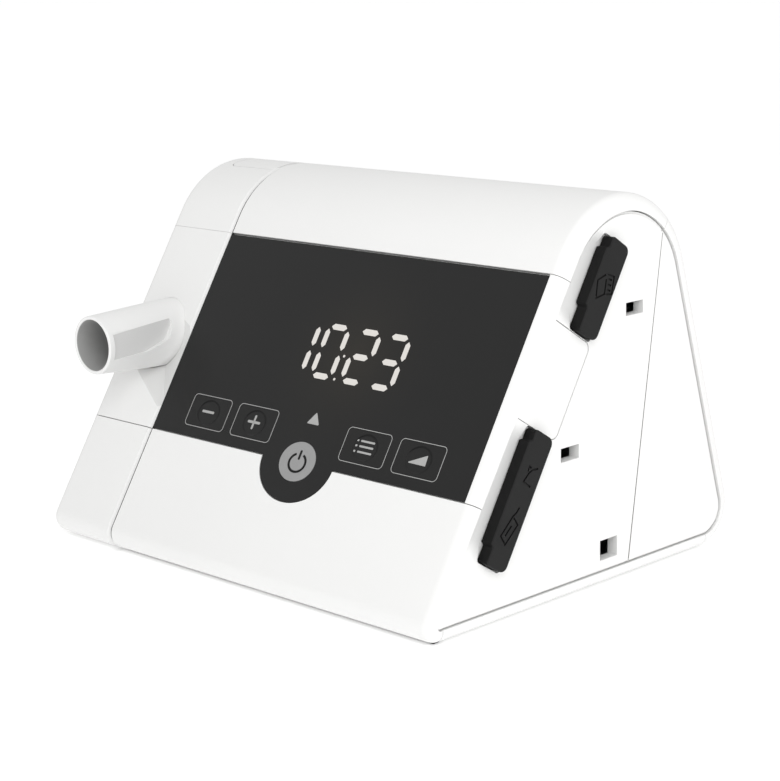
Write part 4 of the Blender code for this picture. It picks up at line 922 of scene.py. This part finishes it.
def onCorners(name, part, finish, spots, height):
    (left, front), (right, back) = spots[0], spots[-1]
    return repeated(name, part, finish, (right - left, back - front), (2, 2),
                    spot((left + right) / 2, (front + back) / 2, height))


# Rings under the foot, then its round edge, as (radius, height)
footStages = ((0.0006, 0.0002), (0.0016, 0.0002), (0.0018, 0), (0.0028, 0), (0.0030, 0.0002), (0.0036, 0.0002),
              (0.0038, 0), (0.0053, 0), (0.0057, 0.0001), (0.00595, 0.0004), (0.006, 0.0008), (0.006, 0.0016))
footShape = turned("footShape", loose, footStages, 48)
smooth(footShape, 50)
feet = onCorners("rubberFeet", footShape, blackRubber, footSpots, 0)
claim(feet, blackRubber, "housing", "foot_1", "foot_2", "foot_3", "foot_4")

# A screw's domed head and its shank, with a cross recess in the head
screwStages = ((0.0024, 0), (0.0028, 0.00015), (0.003, 0.0005), (0.003, 0.0011), (0.0013, 0.0011),
               (0.0013, 0.0101))
screwShape = turned("screwShape", loose, screwStages, 36)
recess = {"long": 0.0034, "short": 0.0008, "corner": 0.0003, "depth": 0.0007, "start": -0.001}
crossSizes = (recess["long"], recess["short"]), (recess["short"], recess["long"])
shapeWith(screwShape, *(block(f"cross{i}", loose, roundedBox(0, 0, *size, recess["corner"], 3), recess["start"],
                              recess["depth"]) for i, size in enumerate(crossSizes)))
smooth(screwShape, 35)
screws = onCorners("baseScrews", screwShape, steel, screwSpots, housing["footGap"] + base["screwSink"])
claim(screws, steel, "housing", "base_screw_1", "base_screw_2", "base_screw_3", "base_screw_4")
print("base made")

# Rear housing, filter cover and power inlet
rear = {
    "filterWidth": 0.044, "filterHeight": 0.026, "filterInset": 0.061, "filterRise": 0.029, "cover": 0.002,
    "foam": 0.006, "fleece": 0.0026, "frame": 0.002, "lip": 0.004, "lipThickness": 0.0015,
    "corner": 0.0003, "openCorner": 0.0008, "coverCorner": 0.0006,
    "vents": 6, "ventWidth": 0.0035, "ventHeight": 0.015, "ventRound": 0.49,
    "gripWidth": 0.012, "gripHeight": 0.003, "gripCorner": 0.0012, "gripDepth": 0.0009,
    "inletInset": 0.028, "inletRise": 0.021, "inletSize": 0.0114,
}
filterX, filterDrop = mainLeft + rear["filterInset"], backLength - rear["filterRise"]
inletX, inletDrop = rimStart - rear["inletInset"], backLength - rear["inletRise"]
wellDepth = rear["cover"] + rear["foam"] + rear["fleece"] + 3 * gap
wide, tall = rear["filterWidth"] + 2 * gap, rear["filterHeight"] + 2 * gap


# A block in the back, over the filter; grow widens the filter's well on each side
def filterBlock(name, grow, corner, steps, near, far):
    return block(name, onBack, roundedBox(filterX, filterDrop, wide + 2 * grow, tall + 2 * grow, corner, steps),
                 near, far)


backRound = chain(backFootRun(), backRun(),
                  ridgeRun(housing["backSlope"], housing["rearSeam"] + gap / 2 / ridgeRadius))
rearHousing = shell("rearHousing", backRound, mainStations(wall))
shapeWith(rearHousing, filterBlock("filterFrame", rear["frame"], rear["corner"], 2, wall / 2,
                                   wellDepth + rear["lipThickness"]), operation="UNION")
side = rear["inletSize"] + 2 * gap
shapeWith(rearHousing, filterBlock("filterWell", 0, rear["corner"], 2, -overrun, wellDepth),
          filterBlock("filterOpening", -rear["lip"], rear["openCorner"], 3, -overrun, wellDepth + overrun),
          block("inletOpening", onBack, roundedBox(inletX, inletDrop, side, side, rear["openCorner"], 4),
                -overrun, wall + gap))
complete(rearHousing, whiteShell, "housing", "rear_housing")

cover = filterBlock("filterCover", -gap, rear["coverCorner"], 3, 0, rear["cover"])
ventOutline = roundedBox(0, 0, rear["ventWidth"], rear["ventHeight"], rear["ventWidth"] * rear["ventRound"], 6)
pitch = rear["filterWidth"] / (rear["vents"] + 1)
vents = repeated("ventCutters", block("ventShape", loose, ventOutline, -overrun, overrun), whiteShell,
                 (pitch * (rear["vents"] - 1), 0), (rear["vents"], 1), Vector())
backAxes = [Vector((1, 0, 0))] + [onBack(0, *step) - onBack(0, 0, 0) for step in ((1, 0), (0, 1))]
vents.data.transform(Matrix.Translation(onBack(filterX, filterDrop, 0)) @ Matrix(backAxes).transposed().to_4x4())
vents.data.flip_normals()  # the back's own axes are left-handed
grip = block("gripNotch", onBack, roundedBox(filterX, filterDrop - rear["filterHeight"] / 2, rear["gripWidth"],
                                             rear["gripHeight"], rear["gripCorner"], 5),
             -overrun, rear["gripDepth"])
complete(shapeWith(cover, vents, grip), whiteShell, "filter_cover", "filter_cover")

inlet = {"flange": 0.0018, "flangeThickness": 0.0015, "length": 0.014, "bore": 0.0032, "boreDepth": 0.009,
         "pin": 0.001, "pinStart": 0.0015, "pinTip": 0.0011, "tipShares": (0.6, 0.5), "corner": 0.0006,
         "front": 0.0003, "mouth": 0.0004}
half = rear["inletSize"] / 2
flangeStart, flangeEnd = wall + gap, wall + gap + inlet["flangeThickness"]
socketStages = ((0.0, half - inlet["front"]), (inlet["front"], half), (flangeStart, half),
                (flangeStart, half + inlet["flange"]), (flangeEnd, half + inlet["flange"]), (flangeEnd, half),
                (inlet["length"], half))
socket = stack("powerInlet", onBack, [
    (roundedBox(inletX, inletDrop, 2 * reach, 2 * reach, inlet["corner"], 4), depth)
    for depth, reach in socketStages])
boreStages = ((-overrun, inlet["bore"] + overrun), (0, inlet["bore"] + inlet["mouth"]),
              (inlet["mouth"], inlet["bore"]), (inlet["boreDepth"], inlet["bore"]),
              (inlet["boreDepth"], inlet["pin"]), (inlet["pinStart"], inlet["pin"]),
              (inlet["pinTip"], inlet["pin"] * inlet["tipShares"][0]),
              (-overrun, inlet["pin"] * inlet["tipShares"][1]))
bore = stack("inletBore", onBack, [([(inletX + a, inletDrop + b) for a, b in circle(radius, 48)], depth)
                                   for depth, radius in boreStages], ring=True)
complete(shapeWith(socket, bore), darkPlastic, "housing", "power_inlet_socket", edge=0.00012)
print("rear made")


# Rubber flaps with engraved signs
def flapOutline(down, length, front, tail):
    back, step, end = front + flap["width"], front + flap["step"], down + length
    first, last = down + flap["end"], end - tail
    small, shoulder, corner = flap["smallCorner"], flap["shoulderRound"], flap["corner"]
    before, after = flap["slopeBefore"], flap["slopeAfter"]
    return rounded([(down, step, shoulder), (first - before, step, 0), (first + after, front, small),
                    (last - after, front, small), (last + before, step, 0), (end, step, shoulder),
                    (end, back, corner), (down, back, corner)], 6)


# Groove along a line of points (down, depth) on a flap's face, with mitred bends
def groove(name, points, deeper):
    line = [Vector(point) for point in points]
    sides = ([], [])
    for i, here in enumerate(line):
        before = (here - line[i - 1]).normalized() if i else (line[1] - here).normalized()
        after = (line[i + 1] - here).normalized() if i < len(line) - 1 else before
        mitre = (before + after).normalized()
        across = Vector((-mitre.y, mitre.x)) * flap["iconLine"] / 2 / max(0.3, mitre.dot(before))
        for side, way in zip(sides, (1, -1)):
            side.append(tuple(here + across * way))
    face = rightEnd + flap["stand"]
    return block(name, onSide, sides[0] + sides[1][::-1], face - flap["iconDepth"] - deeper,
                 face + flap["iconClear"])


# Memory card with its contacts; plug on its lead; socket: all open strokes that don't cross
cardSign = [((-0.0015, 0.0177), (0.0018, 0.0147), (0.0073, 0.0170), (0.0043, 0.0204), (-0.0003, 0.0187)),
            ((-0.0019, 0.0185), (-0.0027, 0.0221), (0.0028, 0.0239), (0.0041, 0.0212)),
            ((-0.0008, 0.0197), (-0.0012, 0.0216)), ((0.0009, 0.0203), (0.0005, 0.0222)),
            ((0.0026, 0.0209), (0.0022, 0.0228))]
plugSign = [((0.0672, 0.0196), (0.0684, 0.0172), (0.0700, 0.0160), (0.0735, 0.0148), (0.0738, 0.0190)),
            ((0.0697, 0.0152), (0.0680, 0.0151), (0.0682, 0.0163))]
linkSign = [((0.0815, 0.0175), (0.0835, 0.0170), (0.0850, 0.0160), (0.0928, 0.0136), (0.0945, 0.0172),
             (0.0868, 0.0197), (0.0854, 0.0166)), ((0.0880, 0.0170), (0.0920, 0.0157))]
for name, body, place, tail, strokes in (("cardFlap", "card_flap", cardPlace, flap["cardTail"], cardSign),
                                         ("portFlap", "port_flap", portPlace, flap["portTail"],
                                          plugSign + linkSign)):
    thing = block(name, onSide, flapOutline(*place, tail), rightEnd - flap["sink"], rightEnd + flap["stand"])
    breakEdges(thing, flap["edgeRound"], 4, 50)
    # Each groove is a hair deeper than the one before, so that no two floors share a plane
    shapeWith(thing, *(groove(f"{name}Sign{i}", stroke, flap["iconStep"] * i)
                       for i, stroke in enumerate(strokes)))
    complete(thing, blackRubber, body, body, edge=0)
    # The walls take the darker rubber: painted shade on every face that doesn't face out
    refinish(thing, wallShadeRubber, lambda face: face.normal.x < 0.2)
print("flaps made")

# Outlet module: slice-shaped shells, button and nozzle
outlet = {
    "nozzleDrop": 0.0513, "tipRadius": 0.011, "rootRadius": 0.0126, "boreRadius": 0.0096, "reach": 0.0317,
    "taper": 0.0325, "tail": 0.024, "lipRound": 0.0005, "lipSteps": 6, "flatOffset": 0.010,
    "holeGap": 0.00004, "dentDepth": 0.0052, "dentWall": 0.0016, "dentSeam": (-0.19, 2.51),
    "dentSide": (0.36, 1.2, 0.6, -0.71), "dentTip": (0.3, 0.69), "seamShadeSink": 0.0004,
    "seamShadeGaps": (0.00008, 0.00002),
}
button = {
    "width": 0.0254, "length": 0.0176, "offset": -0.0019, "corner": 0.003, "thickness": 0.0020,
    "frame": 0.0014, "stem": 0.0026, "stemInset": 0.0134, "stemLength": 0.0165, "shelfDrop": 0.0165,
    "shelf": 0.002, "holeRadius": 0.0032, "holeBelow": 0.005, "holeAbove": 0.0025,
}
nozzleX = housing["sliceWidth"] / 2
nozzleZ = ridgeZ + ridgeRadius * frontCosine - outlet["nozzleDrop"] * frontSine
shelfZ = housing["height"] - button["shelfDrop"]
buttonX, buttonY = sliceRight - button["frame"] - button["width"] / 2, button["offset"]
stemX = sliceRight - button["stemInset"]


def onNozzle(a, b, y):
    return spot(nozzleX + a, y, nozzleZ + b)


def onFlat(y, b, x):
    return spot(x, y, nozzleZ + b)


def buttonOutline(grow):
    return roundedBox(buttonX, buttonY, button["width"] + 2 * grow, button["length"] + 2 * grow,
                      button["corner"] + grow)


# A four-sided hollow that runs from the module's seam to a tip beside the nozzle; grown, it is the
# backing behind that hollow. Its corners are in shares of the nozzle's root radius
def dent(name, seam, grow):
    reach, (seamTop, seamEnd), side = outlet["rootRadius"], outlet["dentSeam"], outlet["dentSide"]
    places = ((seam, seamTop * reach - grow), (seam, seamEnd * reach + grow),
              (nozzleX - side[0] * reach - grow, side[1] * reach + grow),
              (nozzleX + side[2] * reach - grow, side[3] * reach - grow))
    shape = bmesh.new()

    def corner(x, down, depth):
        return shape.verts.new(onFront(x, outlet["nozzleDrop"] + down, depth))

    rim = [corner(*place, wall / 2 if grow else -gap / 10) for place in places]
    top = rim if grow else [corner(*place, -overrun) for place in places]
    tipAcross, tipDown = outlet["dentTip"]
    tip = corner(nozzleX + tipAcross * reach, tipDown * reach, outlet["dentDepth"] + 2 * grow)
    shape.faces.new(top)
    for i in range(4):
        j = (i + 1) % 4
        shape.faces.new((rim[i], rim[j], tip))
        if not grow:
            shape.faces.new((top[i], top[j], rim[j], rim[i]))
    return closeShape(name, shape)


topRun = chain(backFootRun(), backRun(), ridgeRun(housing["backSlope"], -housing["frontSlope"]),
               frontRun(0, panelTop - gap / 6))
outletTop = shell("outletTopCover", topRun, sliceStations())
shelfReach = math.sqrt((ridgeRadius - wall / 2) ** 2 - (shelfZ - ridgeZ) ** 2)
shelf = boxBlock("buttonShelf", (housing["leftRound"] + wall, -shelfReach, shelfZ - button["shelf"]),
                 (sliceRight - wall, shelfReach, shelfZ))
shapeWith(outletTop, shelf, operation="UNION")
stemHole = turned("stemHole", spot, [(button["holeRadius"], shelfZ - button["holeBelow"]),
                                     (button["holeRadius"], shelfZ + button["holeAbove"])], u=stemX, v=buttonY)
buttonHole = block("buttonHole", spot, buttonOutline(gap), shelfZ + gap, housing["height"] + overrun)
complete(shapeWith(outletTop, stemHole, buttonHole), whiteShell, "outlet_module", "outlet_top_cover", crease=20)

outletMid = shell("outletMidCover", frontRun(panelTop + gap / 6, panelBottom - gap / 2, 8), sliceStations())
shapeWith(outletMid, dent("dentBacking", sliceRight - gap, outlet["dentWall"]), operation="UNION")
nozzleHole = stack("nozzleHole", onNozzle, [
    (circle(outlet["rootRadius"] + outlet["holeGap"], 128), y)
    for y in (frontFootY - housing["frontFoot"], -ridgeRadius + overrun)])
shapeWith(outletMid, nozzleHole, dent("nozzleDent", housing["sliceWidth"] + overrun / 4, 0))
complete(outletMid, whiteShell, "outlet_module", "outlet_mid_cover", edge=0.00015, crease=20)
inward = Vector((0, frontSine, -frontCosine))


def inDent(face):
    level = (face.center - onFront(0, 0, 0)).dot(inward)
    across = face.center.x - shift.x
    clear = level > housing["chamferDepth"] or across < sliceRight - housing["chamferWidth"]
    return (level > gap / 2 and face.normal.dot(inward) < -0.3
            and nozzleX / 2 < across < sliceRight - 2 * gap and clear)


# The dent's sloping faces take painted shade
refinish(outletMid, dentShade, inDent)

lowRun = chain(frontRun(panelBottom + gap / 2, frontLength, 4), frontFootRun(),
               bottomRun(frontFootY, backFootY - gap))
complete(shell("outletLowerCover", lowRun, sliceStations()), whiteShell, "outlet_module", "outlet_lower_cover",
         crease=20)

wholeRun = chain(ridgeRun(housing["backSlope"], -housing["frontSlope"]), frontRun(0, frontLength),
                 frontFootRun(), bottomRun(frontFootY, backFootY), backFootRun(), backRun())
# Dark strip on the main body's edge: painted shade, which stands in for the shadow in the seam and shows as a
# fine line there
seamShade = shell("seamGasket", wholeRun, [
    (x, outlet["seamShadeSink"], 0, wall, 0)
    for x in (sliceRight + outlet["seamShadeGaps"][0], shellLeft - outlet["seamShadeGaps"][1])])
complete(seamShade, blackRubber, "housing", edge=0)
sideOutline = insetOutline(wholeRun[:-1], housing["leftRound"] + housing["rimLip"] + gap, 0)
sideShell = block("outletSideShell", onProfile, sideOutline, 0, wall)
complete(sideShell, whiteShell, "outlet_module", "outlet_side_shell", edge=0.0003)

reach = math.asin((button["length"] / 2 + abs(buttonY) + button["thickness"]) / ridgeRadius)
pushButton = shell("releaseButton", ridgeRun(reach, -reach), [
    (buttonX + s * button["width"], 0, 0, button["thickness"], 0) for s in (-1, 1)])
shapeWith(pushButton, block("buttonEdge", spot, buttonOutline(0), shelfZ, housing["height"] + overrun),
          operation="INTERSECT")
stemTop = ridgeZ + math.sqrt((ridgeRadius - button["thickness"] / 2) ** 2 - buttonY ** 2)
stem = turned("buttonStem", spot, [(button["stem"], stemTop - button["stemLength"]), (button["stem"], stemTop)],
              36, stemX, buttonY)
shapeWith(pushButton, stem, operation="UNION")
complete(pushButton, whiteShell, "release_button", "release_button", edge=0.0008, segments=4)

# Spring round the button's stem, built at its rest length; the real one shortens as the button goes down
spring = {"wire": 0.0008, "turns": 5, "turnSteps": 24, "wireSides": 10, "travel": 0.003}
springLow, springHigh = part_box("release_spring")
springAxis = (springLow + springHigh) / 2
springRadius = button["stem"] + gap + spring["wire"] / 2
coilSteps = spring["turns"] * spring["turnSteps"]
heights = spread(springLow.z + spring["wire"] / 2, springHigh.z - spring["wire"] / 2, coilSteps)
rows = []
for i, height in enumerate(heights):
    angle = math.tau * i / spring["turnSteps"]
    rows.append([Vector((springAxis.x + (springRadius + a) * math.cos(angle),
                         springAxis.y + (springRadius + a) * math.sin(angle), height + b))
                 for a, b in circle(spring["wire"] / 2, spring["wireSides"])])
coil = complete(loft("releaseSpring", rows), steel, "outlet_module", "release_spring", edge=0)
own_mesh(coil)

faceY = onFront(nozzleX, outlet["nozzleDrop"], 0).y - shift.y
tipY, tailY, lipRound = faceY - outlet["reach"], faceY + outlet["tail"], outlet["lipRound"]
lip = quarter(outlet["lipSteps"])
nozzleStages = [(outlet["boreRadius"], tailY)]
nozzleStages += [(outlet["boreRadius"] + lipRound * a, tipY + lipRound * b) for a, b in lip]
nozzleStages += [(outlet["tipRadius"] - lipRound * b, tipY + lipRound * a) for a, b in lip]
nozzleStages += [(outlet["rootRadius"], tipY + outlet["taper"]), (outlet["rootRadius"], tailY)]
nozzle = stack("outletNozzle", onNozzle, [(circle(radius, 128), y) for radius, y in nozzleStages], ring=True)
# Flat tongue on the nozzle's right side, as (length from the tip, height from the axis, corner)
flatCorners = ((0.0022, -0.0046, 0), (0.0022, 0.0090, 0), (0.0265, 0.0090, 0.0035), (0.0302, 0.0062, 0.0025),
               (0.0265, -0.0003, 0.004), (0.0165, -0.0036, 0.012))
flatStart = nozzleX + outlet["flatOffset"]
flat = block("nozzleFlat", onFlat, [(tipY + a, b) for a, b in rounded(flatCorners, 10)], flatStart,
             flatStart + overrun)
complete(shapeWith(nozzle, flat), whiteShell, "outlet_module", "outlet_nozzle", edge=0.0002)


def onTongue(face):
    away = face.center - onNozzle(0, 0, 0)
    return face.normal.x > 0.999 and abs(away.x - outlet["flatOffset"]) < gap / 3


def inBore(face):
    away = face.center - onNozzle(0, 0, 0)
    return math.hypot(away.x, away.z) < outlet["boreRadius"] + gap / 10 and abs(face.normal.y) < 0.5


# The nozzle's flat takes painted shade
refinish(nozzle, flatShade, onTongue)
# The bore's inner wall takes painted shade
refinish(nozzle, boreShade, inBore)
for tool in spent.values():
    bpy.data.objects.remove(tool)
print("outlet module made")

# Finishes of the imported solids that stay
kept = {
    whiteShell: ("outlet_elbow",),
    greyPlastic: ("module_plate", "blower_lower_housing", "blower_upper_housing", "silencer_tray",
                  "silencer_lid"),
    boardGreen: ("display_board", "main_board"),
    darkPlastic: ("digit_display", "memory_card", "module_connector", "impeller"),
    greySilicone: ("key_contact_mat", "outlet_seal", "outlet_duct"),
    ribbonFilm: ("ribbon_cable",),
    steel: ("card_socket", "data_socket", "blower_motor", "motor_bearing_lower", "motor_bearing_upper",
            "rotor_shaft"),
    openFoam: ("coarse_filter", "silencer_foam"),
    filterFleece: ("fine_filter",),
    blackRubber: ("blower_mount_1", "blower_mount_2", "blower_mount_3"),
}
for material, names in kept.items():
    for name in names:
        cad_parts[name].data.materials.clear()
        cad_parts[name].data.materials.append(material)

# Studio: backlit white floor, soft lights, camera at the photograph's angle
studio = {
    "sky": 0.78, "floorGlow": 0.30, "floorReach": 40.0, "cardRise": 0.00003,
    "cardInsets": (0.004, 0.009, 0.010, 0.012),  # left, front, right, back
    "lamps": {"frontSoftbox": ((0.45, -0.40, 0.50), (0, 0, 0.07), (0.45, 0.45), 1.9),
              "rightSoftbox": ((1.0, 0.1, 0.35), (0.08, 0.02, 0.06), (0.8, 0.6), 1.2)},
    "lens": 92.004, "sensor": 36, "clip": (0.01, 20), "eye": (0.505528, -0.511853, 0.216106),
    "rightWay": (0.715297, 0.698633, -0.016199), "upWay": (-0.139922, 0.165894, 0.976167),
    "forward": (-0.684669, 0.695982, -0.216417),
}


def flatSheet(name, left, front, right, back, z, material):
    mesh = bpy.data.meshes.new(name)
    mesh.from_pydata([(left, front, z), (right, front, z), (right, back, z), (left, back, z)], [], [(0, 1, 2, 3)])
    mesh.materials.append(material)
    return link(name, mesh)


# Opal acrylic lit from below: an even white without hard shadows
floorSheet = surface("opal acrylic, backlit", "F2F2F2", "F5F5F5", (0.8, 0.9), 2.0, 0.01, 300)
setSockets(shaderOf(floorSheet), {"Emission Color": (1, 1, 1, 1), "Emission Strength": studio["floorGlow"]})
reach = studio["floorReach"]
flatSheet("floor", -reach, -reach, reach, reach, 0, floorSheet)
# White card under the machine, which keeps the light off its underside
paper = surface("paper card, uncoated white", "DDDDDD", "E4E4E4", (0.85, 0.95), 0.4, 0.01, 60)
low, high = cadBox
left, front, right, back = studio["cardInsets"]
flatSheet("card", low.x + left, low.y + front, high.x - right, high.y - back, studio["cardRise"], paper)

world = bpy.data.worlds.new("studio")
bpy.context.scene.world = world
world.use_nodes = True
setSockets(world.node_tree.nodes["Background"], {"Color": (1, 1, 1, 1), "Strength": studio["sky"]})
for name, (location, target, size, power) in studio["lamps"].items():
    lamp = bpy.data.lights.new(name, "AREA")
    lamp.shape = "RECTANGLE"
    lamp.size, lamp.size_y = size
    lamp.energy = power
    thing = link(name, lamp)
    thing.location = location
    thing.rotation_euler = (Vector(target) - Vector(location)).to_track_quat("-Z", "Y").to_euler()

camera = bpy.data.cameras.new("camera")
camera.lens, camera.sensor_width = studio["lens"], studio["sensor"]
camera.clip_start, camera.clip_end = studio["clip"]
eye = link("camera", camera)
turn = Matrix((studio["rightWay"], studio["upWay"], -Vector(studio["forward"]))).transposed().to_4x4()
eye.matrix_world = Matrix.Translation(studio["eye"]) @ turn
bpy.context.scene.camera = eye
bpy.context.scene.view_settings.view_transform = "Standard"

print("scene done")
